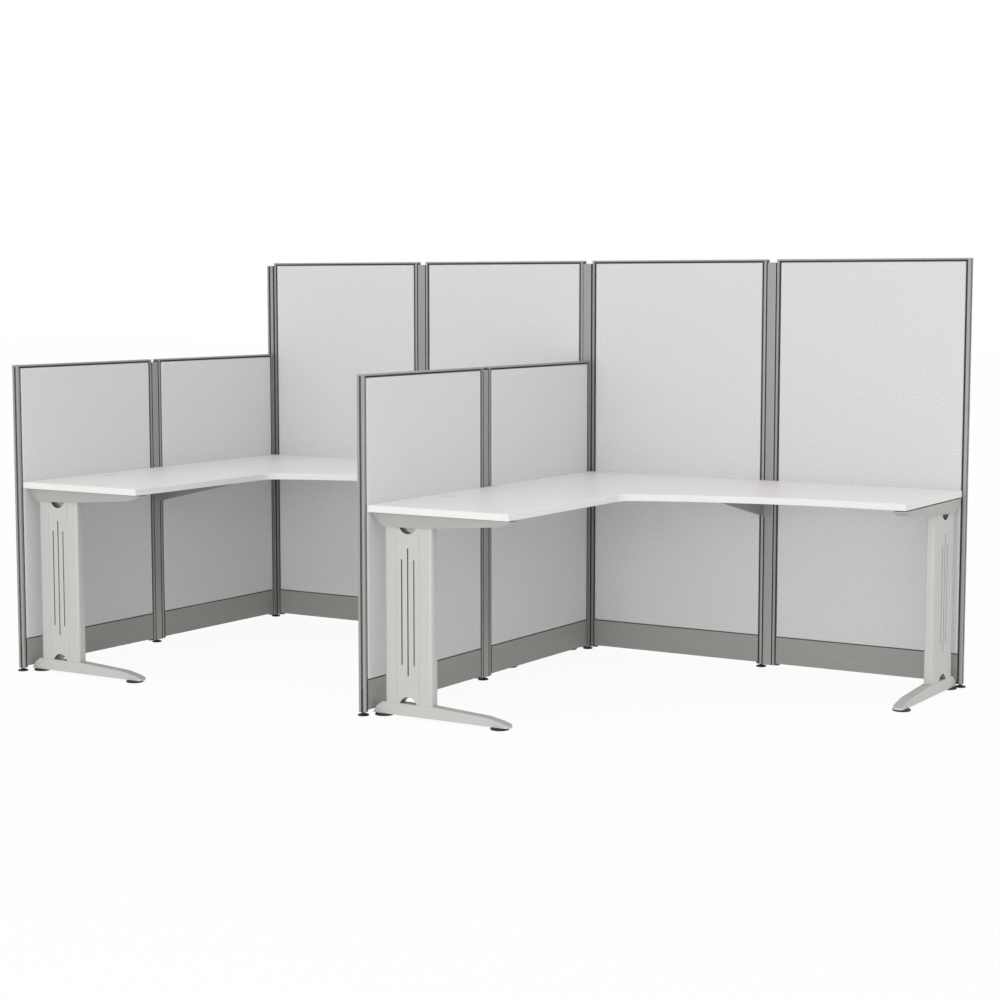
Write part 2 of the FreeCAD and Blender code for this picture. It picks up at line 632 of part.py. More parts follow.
def leg_foot():
    """Tapered foot with a rounded nose: a shell open below, with bosses for the two glides."""
    half = LEG_FOOT_WIDTH / 2
    bar = side_prism([
        (LEG_START, LEG_FOOT_BOTTOM),
        (LEG_TIP, LEG_FOOT_BOTTOM),
        (LEG_TIP, LEG_FOOT_BOTTOM + TOE_NOSE, TOE_NOSE_RADIUS),
        (LEG_TIP - TOE_BROW, TOE_BROW_TOP, TOE_BROW_RADIUS),
        (LEG_TIP - TOE_KNEE, TOE_KNEE_TOP, TOE_KNEE_RADIUS),
        (COLUMN_END, LEG_FOOT_TOP),
        (LEG_START + HEEL_LENGTH, LEG_FOOT_TOP, HEEL_RADIUS),
        (LEG_START + HEEL_KNEE, HEEL_KNEE_TOP, HEEL_RADIUS),
    ], -half, half)
    rims = [edge for edge in bar.Edges
            if edge.BoundBox.YLength < CLOSE and edge.BoundBox.ZMax > LEG_FOOT_BOTTOM + CLOSE]
    bar = bar.makeChamfer(LEG_FOOT_BEVEL, rims)
    nose = plan_prism([
        (LEG_START, -half),
        (LEG_TIP, -half, LEG_FOOT_NOSE_RADIUS),
        (LEG_TIP, half, LEG_FOOT_NOSE_RADIUS),
        (LEG_START, half),
    ], LEG_FOOT_BOTTOM, LEG_FOOT_TOP + CUT)
    hollow = side_prism([
        (LEG_START + HEEL_KNEE + LEG_FOOT_SHEET, LEG_FOOT_BOTTOM - CUT),
        (LEG_TIP - TOE_BROW, LEG_FOOT_BOTTOM - CUT),
        (LEG_TIP - TOE_BROW, TOE_BROW_TOP - LEG_FOOT_SHEET),
        (LEG_TIP - TOE_KNEE, TOE_KNEE_TOP - LEG_FOOT_SHEET),
        (COLUMN_END, LEG_FOOT_TOP - LEG_FOOT_SHEET),
        (LEG_START + HEEL_LENGTH, LEG_FOOT_TOP - LEG_FOOT_SHEET),
        (LEG_START + HEEL_KNEE + LEG_FOOT_SHEET, HEEL_KNEE_TOP - LEG_FOOT_SHEET),
    ], -half + LEG_FOOT_SHEET, half - LEG_FOOT_SHEET)
    for x in (REAR_GLIDE, FRONT_GLIDE):
        hollow = hollow.cut(round_bar(x, 0, GLIDE_BOSS_RADIUS, STEM_SIDES, LEG_FOOT_BOTTOM, LEG_FOOT_TOP))
    foot_shell = bar.common(nose).cut(hollow)
    return foot_shell.cut([glide_bore(REAR_GLIDE), glide_bore(FRONT_GLIDE)])


def leg_beam():
    """Top beam: a channel open below that tapers to a solid nose, with holes for the desk screws."""
    half = BEAM_WIDTH / 2
    bar = side_prism([
        (LEG_START, BEAM_TOP),
        (LEG_START + BEAM_HEEL, BEAM_TOP - BEAM_HEEL_DEPTH, BEAM_HEEL_RADIUS),
        (COLUMN_END, BEAM_TOP - BEAM_DEPTH, BEAM_BELLY_RADIUS),
        (BEAM_END - BEAM_TIP, BEAM_TOP - BEAM_TIP_DEPTH, BEAM_TIP_RADIUS),
        (BEAM_END, BEAM_TOP - BEAM_NOSE),
        (BEAM_END, BEAM_TOP),
    ], -half, half)
    wall = 3 * BEAM_SHEET
    hollow = side_prism([
        (LEG_START + wall, BEAM_TOP - BEAM_SHEET),
        (LEG_START + BEAM_HEEL, BEAM_TOP - BEAM_SHEET - (BEAM_HEEL - wall) * BEAM_HEEL_DEPTH / BEAM_HEEL),
        (LEG_START + BEAM_HEEL, BEAM_TOP - BEAM_HEEL_DEPTH - CUT),
        (BEAM_END - BEAM_TIP, BEAM_TOP - BEAM_HEEL_DEPTH - CUT),
        (BEAM_END - BEAM_TIP, BEAM_TOP - BEAM_SHEET),
    ], -half + BEAM_SHEET, half - BEAM_SHEET)
    holes = [round_bar(x, 0, SCREW_RADIUS + SCREW_HOLE_CLEARANCE, SCREW_SIDES, BEAM_TOP - BEAM_HEEL_DEPTH,
                       BEAM_TOP + CUT) for x in leg_screw_stations()]
    return bar.cut(hollow).cut(holes)


def leg_screw_stations():
    """Places of the two desk screws along a leg's beam."""
    return (COLUMN_CENTRE, BEAM_END - BEAM_TIP - SCREW_HEAD_RADIUS - CUT)


def upright():
    """Rolled tube from the foot to the beam, on the wall side of the column."""
    x0 = COLUMN_START
    x1 = COLUMN_CENTRE - COVER_WIDTH / 2 - COVER_SEAM
    top = BEAM_TOP - BEAM_SHEET
    outer = plan_prism([
        (x0, -HALF_COLUMN, COLUMN_RADIUS),
        (x1, -HALF_COLUMN),
        (x1, HALF_COLUMN),
        (x0, HALF_COLUMN, COLUMN_REAR_RADIUS),
    ], LEG_FOOT_TOP, top)
    bore = plan_prism([
        (x0 + UPRIGHT_WALL, -HALF_COLUMN + UPRIGHT_WALL, COLUMN_RADIUS - UPRIGHT_WALL),
        (x1 - UPRIGHT_WALL, -HALF_COLUMN + UPRIGHT_WALL),
        (x1 - UPRIGHT_WALL, HALF_COLUMN - UPRIGHT_WALL),
        (x0 + UPRIGHT_WALL, HALF_COLUMN - UPRIGHT_WALL, COLUMN_REAR_RADIUS - UPRIGHT_WALL),
    ], LEG_FOOT_TOP - CUT, top + CUT)
    return outer.cut(bore)


def leg_frame():
    """Foot, two uprights and top beam of one leg, each seated on the next."""
    rear = upright()
    return [leg_foot(), rear, mirrored(rear, COLUMN_CENTRE), leg_beam()]


def outlet_cuts():
    """Half-round cable outlets at the foot and at the head of the front cover."""
    cuts = []
    for centre in (LOWER_OUTLET_CENTRE, UPPER_OUTLET_CENTRE):
        outline = [(COLUMN_CENTRE + x, centre + z) for x, z in ring(OUTLET_RADIUS, OUTLET_SIDES)]
        cuts.append(side_prism(outline, -HALF_COLUMN - CUT, -HALF_COLUMN + COVER_SHEET + CUT))
    return cuts


def cover_slots():
    """Three upright slots, the middle one longer."""
    half = COLUMN_SLOT_WIDTH / 2
    slots = []
    for step in (-1, 0, 1):
        x = COLUMN_CENTRE + step * COLUMN_SLOT_SPACING
        bottom = MIDDLE_SLOT_BOTTOM if step == 0 else OUTER_SLOT_BOTTOM
        top = MIDDLE_SLOT_TOP if step == 0 else OUTER_SLOT_TOP
        outline = rectangle(x - half, x + half, bottom, top, half * SLOT_END_SHARE)
        slots.append(side_prism(outline, -HALF_COLUMN - CUT, -HALF_COLUMN + COVER_SHEET + CUT))
    return slots


def front_cover():
    """Pressed cover between the uprights, with upright slots and a half-round cable outlet at either end."""
    half = COVER_WIDTH / 2
    plate = box(COLUMN_CENTRE - half, COLUMN_CENTRE + half, -HALF_COLUMN, -HALF_COLUMN + COVER_SHEET,
                LEG_FOOT_TOP, COVER_TOP)
    return plate.cut(outlet_cuts() + cover_slots())


def rear_cover():
    """Plain cover at the back of the uprights, which leaves both outlets clear."""
    half = COVER_WIDTH / 2
    return box(COLUMN_CENTRE - half, COLUMN_CENTRE + half, HALF_COLUMN - COVER_SHEET, HALF_COLUMN,
               REAR_COVER_BOTTOM, REAR_COVER_TOP)


def glide():
    """Leg glide: wide disc with a coned top and a stem, wound fully in."""
    disc = round_bar(0, 0, GLIDE_RADIUS, ROUND_SIDES, 0, GLIDE_DISC)
    cone = round_cone(GLIDE_RADIUS, GLIDE_TOP_RADIUS, GLIDE_DISC, LEG_FOOT_BOTTOM)
    stem = round_bar(0, 0, FOOT_STEM_RADIUS, STEM_SIDES, LEG_FOOT_BOTTOM, GLIDE_STEM_TOP)
    return disc.fuse([cone, stem])


# Cantilever brackets, drawn along +X with the post on their -Y side

BRACKET_TIP = HALF_WALL + BRACKET_REACH
BRACKET_SCREW_STATIONS = (HALF_WALL + SCREW_INSET, BRACKET_TIP - SCREW_INSET)
BRACKET_SCREW_SIDE = SEAM - BRACKET_FLANGE_WIDTH / 2


def bracket():
    """Pressed bracket: tapered web with its tongue in the seam, top flange and a flange on the post."""
    top = DESK_UNDERSIDE
    root = top - BRACKET_ROOT_HEIGHT
    web = side_prism([
        (HALF_WALL - BRACKET_TONGUE, top - BRACKET_FLANGE),
        (HALF_WALL - BRACKET_TONGUE, root),
        (HALF_WALL + BRACKET_FLANGE, root),
        (BRACKET_TIP, top - BRACKET_TIP_HEIGHT, BRACKET_TIP_HEIGHT / 2),
        (BRACKET_TIP, top - BRACKET_FLANGE),
    ], 0, SEAM)
    side = SEAM - BRACKET_FLANGE_WIDTH
    flange = box(DESK_START, BRACKET_TIP, side, SEAM, top - BRACKET_FLANGE, top)
    back = box(HALF_WALL, HALF_WALL + BRACKET_FLANGE, SEAM - BRACKET_BACK_WIDTH, SEAM, root, top - BRACKET_FLANGE)
    holes = [round_bar(x, BRACKET_SCREW_SIDE, SCREW_RADIUS + SCREW_HOLE_CLEARANCE, SCREW_SIDES,
                       top - BRACKET_FLANGE - CUT, top + CUT) for x in BRACKET_SCREW_STATIONS]
    return web.fuse([flange, back]).cut(holes)


# Screws and pads, drawn round their own axis

def desk_screw(seat):
    """Hexagon-head screw driven up into the desktop; seat is the face its head bears on."""
    head = round_bar(0, 0, SCREW_HEAD_RADIUS, HEXAGON, seat - SCREW_HEAD, seat)
    shank = round_bar(0, 0, SCREW_RADIUS, SCREW_SIDES, seat, DESK_UNDERSIDE + SCREW_BITE)
    return head.fuse(shank)


def desk_pad():
    """Spacer pad between a leg's beam and the desktop, round the screw."""
    pad = round_bar(0, 0, PAD_RADIUS, STEM_SIDES, BEAM_TOP, DESK_UNDERSIDE)
    hole = round_bar(0, 0, SCREW_RADIUS + SCREW_HOLE_CLEARANCE, SCREW_SIDES, BEAM_TOP - CUT, DESK_UNDERSIDE + CUT)
    return pad.cut(hole)


# Placing the pieces

def outward(shape):
    """Mirror image across the plane y = 0."""
    return shape.mirror(V(0, 0, 0), V(0, 1, 0))


BAYS = {"left": -WALL_RUN, "right": 0}


def leg_placers(bay_x):
    """Functions that put a leg piece under the return and under the main run of a bay."""
    def under_return(shape):
        return set_down(shape, bay_x, -RETURN_LEG_PLANE)

    def under_end(shape):
        return set_down(outward(shape), bay_x + END_LEG_PLANE, 0, -90)

    return {"return": under_return, "end": under_end}


def bracket_placers(bay_x):
    """Functions that put a bracket piece at the side wall's and the back wall's middle post."""
    def at_side(shape):
        return set_down(shape, bay_x, -PITCH + HALF_POST)

    def at_back(shape):
        return set_down(outward(shape), bay_x + PITCH - HALF_POST, 0, -90)

    return (at_side, at_back)


def screw_spots():
    """Places of a bay's desk screws in plan, from the crossing of its wall planes, with the face each seats on."""
    beam_seat = BEAM_TOP - BEAM_SHEET
    flange_seat = DESK_UNDERSIDE - BRACKET_FLANGE
    spots = []
    for x in leg_screw_stations():
        spots.append((x, -RETURN_LEG_PLANE, beam_seat))
        spots.append((END_LEG_PLANE, -x, beam_seat))
    for x in BRACKET_SCREW_STATIONS:
        spots.append((x, -PITCH + HALF_POST + BRACKET_SCREW_SIDE, flange_seat))
        spots.append((PITCH - HALF_POST - BRACKET_SCREW_SIDE, -x, flange_seat))
    return spots


def back_wall_place(index):
    """Function that puts a screen piece into the back wall."""
    x = -WALL_RUN + index * PITCH + SCREEN_OFFSET
    return lambda shape: set_down(shape, x, 0)


def side_wall_place(wall_x, index):
    """Function that puts a screen piece into a wall that runs towards the front."""
    y = -index * PITCH - SCREEN_OFFSET
    return lambda shape: set_down(shape, wall_x, y, -90)


SCREENS = {
    "back_screen_1": (TALL_TOP, back_wall_place(0)),
    "back_screen_2": (TALL_TOP, back_wall_place(1)),
    "back_screen_3": (TALL_TOP, back_wall_place(2)),
    "back_screen_4": (TALL_TOP, back_wall_place(3)),
    "left_screen_rear": (LOW_TOP, side_wall_place(-WALL_RUN, 0)),
    "left_screen_front": (LOW_TOP, side_wall_place(-WALL_RUN, 1)),
    "divider_screen_rear": (LOW_TOP, side_wall_place(0, 0)),
    "divider_screen_front": (LOW_TOP, side_wall_place(0, 1)),
}

# Each post: its place, its turn, its height and its kind
POSTS = {
    "corner_post": (-WALL_RUN, 0, 0, TALL_TOP, corner_post, CORNER_OUTLINE),
    "tee_post": (0, 0, 0, TALL_TOP, tee_post, TEE_OUTLINE),
    "back_post_left": (-PITCH, 0, 0, TALL_TOP, inline_post, INLINE_OUTLINE),
    "back_post_right": (PITCH, 0, 0, TALL_TOP, inline_post, INLINE_OUTLINE),
    "left_wall_post": (-WALL_RUN, -PITCH, -90, LOW_TOP, inline_post, INLINE_OUTLINE),
    "divider_post": (0, -PITCH, -90, LOW_TOP, inline_post, INLINE_OUTLINE),
}


def link_seams():
    """Every seam between a post and a stile: place, direction out of the post, and the lower of the two tops."""
    seams = []
    for index in range(4):
        x = -WALL_RUN + index * PITCH
        seams.append((x + HALF_POST, 0, 0, TALL_TOP))
        if index < 3:
            seams.append((x + PITCH - HALF_POST, 0, 180, TALL_TOP))
    for wall_x in (-WALL_RUN, 0):
        seams.append((wall_x, -HALF_POST, -90, LOW_TOP))
        seams.append((wall_x, -PITCH + HALF_POST, 90, LOW_TOP))
        seams.append((wall_x, -PITCH - HALF_POST, -90, LOW_TOP))
    return seams


# Each levelling foot: its place, and whether it stands under a post or in a stile's outer slot
FEET = {
    "foot_corner": (-WALL_RUN, 0, post_insert, 0),
    "foot_back_left": (-PITCH - SCREEN_OFFSET - FOOT_INSET, 0, stile_insert, 0),
    "foot_tee": (0, 0, post_insert, 0),
    "foot_back_right": (PITCH - SCREEN_OFFSET - FOOT_INSET, 0, stile_insert, 0),
    "foot_right_end": (WALL_END - FOOT_INSET, 0, stile_insert, 0),
    "foot_left_middle": (-WALL_RUN, -PITCH, post_insert, 0),
    "foot_left_end": (-WALL_RUN, -WALL_END + FOOT_INSET, stile_insert, 90),
    "foot_divider_middle": (0, -PITCH, post_insert, 0),
    "foot_divider_end": (0, -WALL_END + FOOT_INSET, stile_insert, 90),
}


def export(name, solids):
    """Write one node, moved so that the origin is the centre of the outer box on the floor."""
    placed = []
    for solid in solids:
        moved = solid.copy()
        moved.translate(-ORIGIN)
        placed += moved.Solids
    shape = placed[0] if len(placed) == 1 else Part.makeCompound(placed)
    shape.exportStep(os.path.join("parts", name + ".step"))
    return len(placed)


def make_screens(nodes):
    """Frames and tiles screen by screen, cores and kick plates wall by wall."""
    cores = []
    kicks = {"back_kick_plates": [], "side_kick_plates": []}
    for name, (top, place) in SCREENS.items():
        nodes[name + "_frame"] = [place(solid) for solid in screen_frame(top)]
        nodes[name + "_tiles"] = [place(solid) for solid in screen_tiles(top)]
        cores += [place(solid) for solid in screen_core(top)]
        group = "back_kick_plates" if name.startswith("back") else "side_kick_plates"
        kicks[group] += [place(solid) for solid in kick_plates()]
    nodes["screen_cores"] = cores
    nodes.update(kicks)


def make_posts(nodes):
    """Posts, their caps, the link strips and the inserts of the feet."""
    caps = []
    for name, (x, y, turn, top, build, outline) in POSTS.items():
        nodes[name] = [set_down(build(top), x, y, turn)]
        caps.append(set_down(post_cap(outline, top), x, y, turn))
    nodes["post_caps"] = caps
    links = []
    for x, y, turn, top in link_seams():
        links.append(set_down(link_strip(top - POST_DROP - LINK_DROP), x, y, turn))
    nodes["link_strips"] = links
    nodes["foot_inserts"] = [set_down(build(), x, y, turn) for x, y, build, turn in FEET.values()]
    for name, (x, y, build, turn) in FEET.items():
        nodes[name] = [set_down(foot(), x, y)]


def make_desks(nodes):
    """Desktops with their legs, glides, brackets, screws, pads and grommets."""
    covers = []
    brackets = []
    screws = []
    pads = []
    grommets = []
    for bay, bay_x in BAYS.items():
        spots = screw_spots()
        nodes[bay + "_desktop"] = [set_down(desktop([(x, y) for x, y, seat in spots]), bay_x, 0)]
        for side, place in leg_placers(bay_x).items():
            leg = bay + "_" + side + "_leg"
            nodes[leg + "_frame"] = [place(solid) for solid in leg_frame()]
            nodes[leg + "_front_cover"] = [place(front_cover())]
            covers.append(place(rear_cover()))
            nodes[leg + "_rear_glide"] = [place(set_down(glide(), REAR_GLIDE, 0))]
            nodes[leg + "_front_glide"] = [place(set_down(glide(), FRONT_GLIDE, 0))]
        brackets += [place(bracket()) for place in bracket_placers(bay_x)]
        for x, y, seat in spots:
            screws.append(set_down(desk_screw(seat), bay_x + x, y))
            if seat < DESK_UNDERSIDE - BRACKET_FLANGE:
                pads.append(set_down(desk_pad(), bay_x + x, y))
        grommets += [set_down(solid, bay_x + GROMMET_X, -GROMMET_Y) for solid in grommet()]
    nodes["leg_rear_covers"] = covers
    nodes["desk_brackets"] = brackets
    nodes["desk_screws"] = screws
    nodes["desk_pads"] = pads
    nodes["cable_grommets"] = grommets


def main():
    os.makedirs("parts", exist_ok=True)
    nodes = {}
    make_screens(nodes)
    make_posts(nodes)
    make_desks(nodes)
    for name, solids in nodes.items():
        count = export(name, solids)
        print(name, count)
    print(len(nodes), "nodes")


main()
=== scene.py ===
import json
import math

import bmesh
import bpy
from bpy.props import FloatProperty, FloatVectorProperty, PointerProperty
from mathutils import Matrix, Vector

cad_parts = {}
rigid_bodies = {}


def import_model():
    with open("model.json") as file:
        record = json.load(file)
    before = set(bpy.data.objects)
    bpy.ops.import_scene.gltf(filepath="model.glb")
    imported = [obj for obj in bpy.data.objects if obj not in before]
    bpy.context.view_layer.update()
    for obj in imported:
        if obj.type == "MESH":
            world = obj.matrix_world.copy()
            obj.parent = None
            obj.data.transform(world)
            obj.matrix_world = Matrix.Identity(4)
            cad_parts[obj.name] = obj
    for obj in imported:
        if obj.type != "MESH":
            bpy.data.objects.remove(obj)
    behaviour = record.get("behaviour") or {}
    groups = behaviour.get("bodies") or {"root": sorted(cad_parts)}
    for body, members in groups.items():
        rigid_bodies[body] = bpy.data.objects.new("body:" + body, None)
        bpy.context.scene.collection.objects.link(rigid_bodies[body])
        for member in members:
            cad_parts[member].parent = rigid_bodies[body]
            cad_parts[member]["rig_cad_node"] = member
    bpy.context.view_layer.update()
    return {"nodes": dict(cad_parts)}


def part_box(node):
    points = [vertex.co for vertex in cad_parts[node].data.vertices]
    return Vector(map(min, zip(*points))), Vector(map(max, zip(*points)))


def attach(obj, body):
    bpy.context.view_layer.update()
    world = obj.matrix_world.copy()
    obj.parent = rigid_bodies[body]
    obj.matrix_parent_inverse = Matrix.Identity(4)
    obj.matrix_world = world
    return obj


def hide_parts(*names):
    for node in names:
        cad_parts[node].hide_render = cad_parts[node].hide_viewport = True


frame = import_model()

bl_info = {
    "name": "Cubicle workstation",
    "version": (1, 0, 0),
    "blender": (4, 5, 0),
    "location": "View3D > Sidebar > Workstation",
    "description": "Dresses the packed cubicle workstation and sets up a plain studio round it",
    "category": "Object",
}

ROOT = "workstation"
MM = 0.001
SCREENS = sorted(name[:-len("_tiles")] for name in frame["nodes"] if name.endswith("_tiles"))
POSTS = ("corner_post", "tee_post", "back_post_left", "back_post_right", "left_wall_post", "divider_post")
LEGS = sorted(name[:-len("_frame")] for name in frame["nodes"] if name.endswith("_leg_frame"))
FEET = sorted(name for name in frame["nodes"] if name.startswith("foot_") and name != "foot_inserts")
GLIDES = sorted(name for name in frame["nodes"] if name.endswith("_glide"))

# Angles in degrees
MERGE_ANGLE = 0.5  # facets of the source that meet flatter than this are joined
ROUND_ANGLE = 32  # edges sharper than this are rounded
SMOOTH_ANGLE = 40  # of extrusions, sheet and boards
TURNED_SMOOTH_ANGLE = 35  # of feet, glides and grommets
TILE_SMOOTH_ANGLE = 60

# Fabric tiles
ROLL_STEPS = 7
CROWN_RINGS = ((0.035, 0.4), (0.06, 0.3), (0.08, 0.2), (0.1, 0.1))  # width, and share of the crown's height
FOOT_SHADE_SLOPE = 0.45  # the painted shade takes the faces of the roll whose normals lean less than this to the room

# What tells the slots and seams that get painted shade from the outside of an extrusion
SKIN = 6.5 * MM  # depth under the sides of a node's box from which a face is inside
END_SLOT_HALF = 7 * MM  # half the width of the slot in a frame's end, which keeps its bright finish without painted shade
SEAM_REACH = 5.5 * MM  # a face that is this near to another extrusion looks into a seam
SEAM_SPREAD = 5 * MM  # rounded corners count up to this far beside the other extrusion
SEAM_STEP = 20 * MM  # a face that rises this far over the other extrusion is an outside one
SIDE_SLOPE = 0.6  # share of a normal along an axis from which a face looks that way

# C-legs
BEAM_LEVEL = 673 * MM  # a leg's frame is its beam from here up, and there takes a darker coat as painted shade under the desktop
OUTLET_SIDES = 48
OUTLET_DEPTH = 200 * MM  # long enough to pass through the front and the rear cover
LOWER_OUTLET_DROP = 14 * MM  # from the foot of a cover down to the outlet's centre
UPPER_OUTLET_DROP = 3 * MM  # from the head of a cover down to the outlet's centre

# Turned pieces: radius and height in mm, ring by ring
FOOT_DISC = ((18.6, 0), (19.6, 0.5), (20, 1.4), (20, 3.3), (19.7, 4.1), (19.0, 4.7), (17.0, 5.5), (12.0, 6.1),
             (9.2, 6.3), (9.0, 6.6), (8.6, 6.8))
FOOT_NUT = ((6.6, 6.3), (7.4, 6.9), (7.4, 11.3), (6.6, 11.9))
GLIDE_DISC = ((31.0, 0), (32.4, 0.6), (33, 1.7), (33, 4.2), (32.5, 5.2), (31.4, 6.1), (28.6, 7.6), (27.0, 8.3),
              (14.0, 8.8))
THREAD_CREST = 4 * MM
THREAD_FORM = ((0.1, 0.45), (0.45, 0), (0.6, 0), (0.95, 0.45))  # place in a turn and cut, as shares of the pitch
# Grommets, from the outer rim and the desktop's face
COLLAR = ((-4.4, -1.4), (-4.0, -1.5), (-0.1, -1.5), (0, -0.9), (-0.6, -0.1), (-1.4, 0), (-5.6, 0), (-6.2, -0.4),
          (-6.3, -2.5), (-8.8, -2.5))
LID = ((-7.0, -2.5), (-6.7, -2.2), (-6.6, -0.6), (-7.2, -0.05), (-8.0, 0), (-9.6, -0.1))

# Studio
SKY = 0.89
GLOW = 0.18  # share of the floor's light that is its own
SEEN_GLOW = 0.93  # the same share where the camera sees the floor
FLOOR_SIZE = 80
SOFTBOX_PLACE = (2.0, -9.5, 1.0)
SOFTBOX_AIM = (0.0, 0.0, 0.6)
SOFTBOX_SIZE = 3.5
SOFTBOX_POWER = 225
# The photo's camera, solved from points measured in it
CAMERA_PLACE = (4.2245, -6.6917, 1.498)
CAMERA_TILT = 84.183  # degrees up from straight down
CAMERA_TURN = 31.759  # degrees to the left of square on
CAMERA_LENS = 75
CAMERA_SENSOR = 36


def linear(code):
    """Linear colour of an sRGB hex value such as D2D2D4."""
    shares = [int(code[at:at + 2], 16) / 255 for at in (0, 2, 4)]
    return [s / 12.92 if s <= 0.04045 else ((s + 0.055) / 1.055) ** 2.4 for s in shares] + [1.0]


# Sizes and colours that a user would change

def length(name, description, default):
    """A length in metres, shown in the scene's unit."""
    return FloatProperty(name=name, description=description, default=default, min=0.0, precision=5,
                         unit='LENGTH', subtype='DISTANCE')


def colour(name, description, code):
    """A colour given by its sRGB hex value."""
    return FloatVectorProperty(name=name, description=description, default=linear(code), size=4, min=0.0, max=1.0,
                               subtype='COLOR')


class WorkstationSizes(bpy.types.PropertyGroup):
    """Sizes of what is modelled on top of the frame."""
    tile_depth: length("Tile depth", "From the back of a fabric tile to the start of its roll", 1.0 * MM)
    tile_roll: length("Tile roll", "Radius of the rolled edge of a fabric tile", 8.0 * MM)
    tile_proud: length("Tile proud", "How far the cloth stands in front of the frame's strips", 2.0 * MM)
    tile_crown: length("Tile crown", "How far the cloth stands proud in the middle of a tile", 0.6 * MM)
    extrusion_edge: length("Extrusion edge", "Rounding of the edges of posts, stiles and rails", 0.4 * MM)
    sheet_edge: length("Sheet edge", "Rounding of the edges of pressed sheet", 0.4 * MM)
    desk_edge: length("Desk edge", "Rounding of the bevels of a desktop", 0.9 * MM)
    outlet_radius: length("Outlet radius", "Radius of the cable outlets in the covers of a leg", 38.0 * MM)
    leg_edge: length("Leg edge", "Rounding of the edges of feet and beams", 1.0 * MM)
    thread_pitch: length("Thread pitch", "Pitch of the threaded stems", 1.25 * MM)


class WorkstationColours(bpy.types.PropertyGroup):
    """Colours of the finishes."""
    cloth: colour("Cloth", "Light grey cloth of the tiles", "DDDDDE")
    aluminium: colour("Aluminium", "Anodised posts, stiles and rails", "A09E9C")
    kick_coat: colour("Kick plate coat", "Powder coat of the kick plates", "9C9B97")
    laminate: colour("Laminate", "Off-white faces of the desktops", "F1EEED")
    edge_band: colour("Edge band", "Off-white band round the desktops", "E9E7E6")
    leg_coat: colour("Leg coat", "Silver powder coat of legs and covers", "C4C4C1")
    # Painted shade: the legs' silver coat made darker on the beams, for the shade under the desktop's overhang
    painted_beam_shade: colour("Beam coat", "Silver powder coat of the leg beams", "AEADAA")
    # Painted shade: the brackets' grey coat made darker for the shade under the desktops
    painted_bracket_shade: colour("Bracket coat", "Grey powder coat of the cantilever brackets", "9A9A98")
    # Painted shade on the foot of each tile's roll, where it sits in the groove beside the frame
    edging: colour("Edging", "Dark clip-in edging round the tiles", "6A6966")
    # Painted shade of the slots, grooves and seams of the extrusions
    channel: colour("Channel", "Dull inside of the extrusions' slots and grooves", "4A4845")
    zinc: colour("Zinc", "Plated strips and screws", "B0B2B5")
    black: colour("Black", "Black moulded feet and glides", "1B1B1D")
    cap: colour("Cap", "Grey moulded post caps", "A5A4A2")
    grommet: colour("Grommet", "Off-white moulded grommets", "E4E3E0")
    board: colour("Board", "Chipboard behind the tiles", "A98C66")


# Node materials

def node(tree, kind, inputs, **settings):
    """Add a node with its settings, and with each input set to a value or linked to a socket."""
    made = tree.nodes.new(kind)
    for key, value in settings.items():
        setattr(made, key, value)
    for key, value in inputs.items():
        if isinstance(value, bpy.types.NodeSocket):
            tree.links.new(value, made.inputs[key])
        else:
            made.inputs[key].default_value = value
    return made


def finish(name, pattern, tone):
    """Material in one of the scene's colours, made once; its pattern function gives the shader's inputs."""
    made = bpy.data.materials.get(name)
    if made is None:
        made = bpy.data.materials.new(name)
        made.use_nodes = True
        tree = made.node_tree
        tree.nodes.clear()
        place = node(tree, 'ShaderNodeTexCoord', {}).outputs['Object']
        value = tuple(getattr(bpy.context.scene.workstation_colours, tone))
        shader = node(tree, 'ShaderNodeBsdfPrincipled', pattern(tree, place, value))
        node(tree, 'ShaderNodeOutputMaterial', {'Surface': shader.outputs['BSDF']})
    return made


def scaled(tone, share):
    """Colour made darker or lighter by a share."""
    return [min(1.0, part * share) for part in tone[:3]] + [1.0]


def drift(tree, place, tone, share, size):
    """Colour that drifts a share below and above its own value, in patches of one size."""
    patches = node(tree, 'ShaderNodeTexNoise', {'Vector': place, 'Scale': 1 / size, 'Detail': 3.0})
    mix = node(tree, 'ShaderNodeMix', {0: patches.outputs['Fac'], 6: scaled(tone, 1 - share),
                                       7: scaled(tone, 1 + share)}, data_type='RGBA')
    return mix.outputs[2]


def grained(tree, place, tone, share, patch, grain, depth, gloss, **fixed):
    """Inputs of a fine-grained surface: drifting colour, gloss between two roughnesses, and a grain in relief."""
    bumps = node(tree, 'ShaderNodeTexNoise', {'Vector': place, 'Scale': 1 / grain, 'Detail': 2.0})
    smears = node(tree, 'ShaderNodeTexNoise', {'Vector': place, 'Scale': 1 / (4 * patch), 'Detail': 4.0})
    rough = node(tree, 'ShaderNodeMapRange', {'Value': smears.outputs['Fac'], 'From Min': 0.3, 'From Max': 0.7,
                                              'To Min': gloss[0], 'To Max': gloss[1]})
    relief = node(tree, 'ShaderNodeBump', {'Strength': 0.6, 'Distance': depth, 'Height': bumps.outputs['Fac']})
    return {'Base Color': drift(tree, place, tone, share, patch), 'Roughness': rough.outputs['Result'],
            'Normal': relief.outputs['Normal'], **fixed}


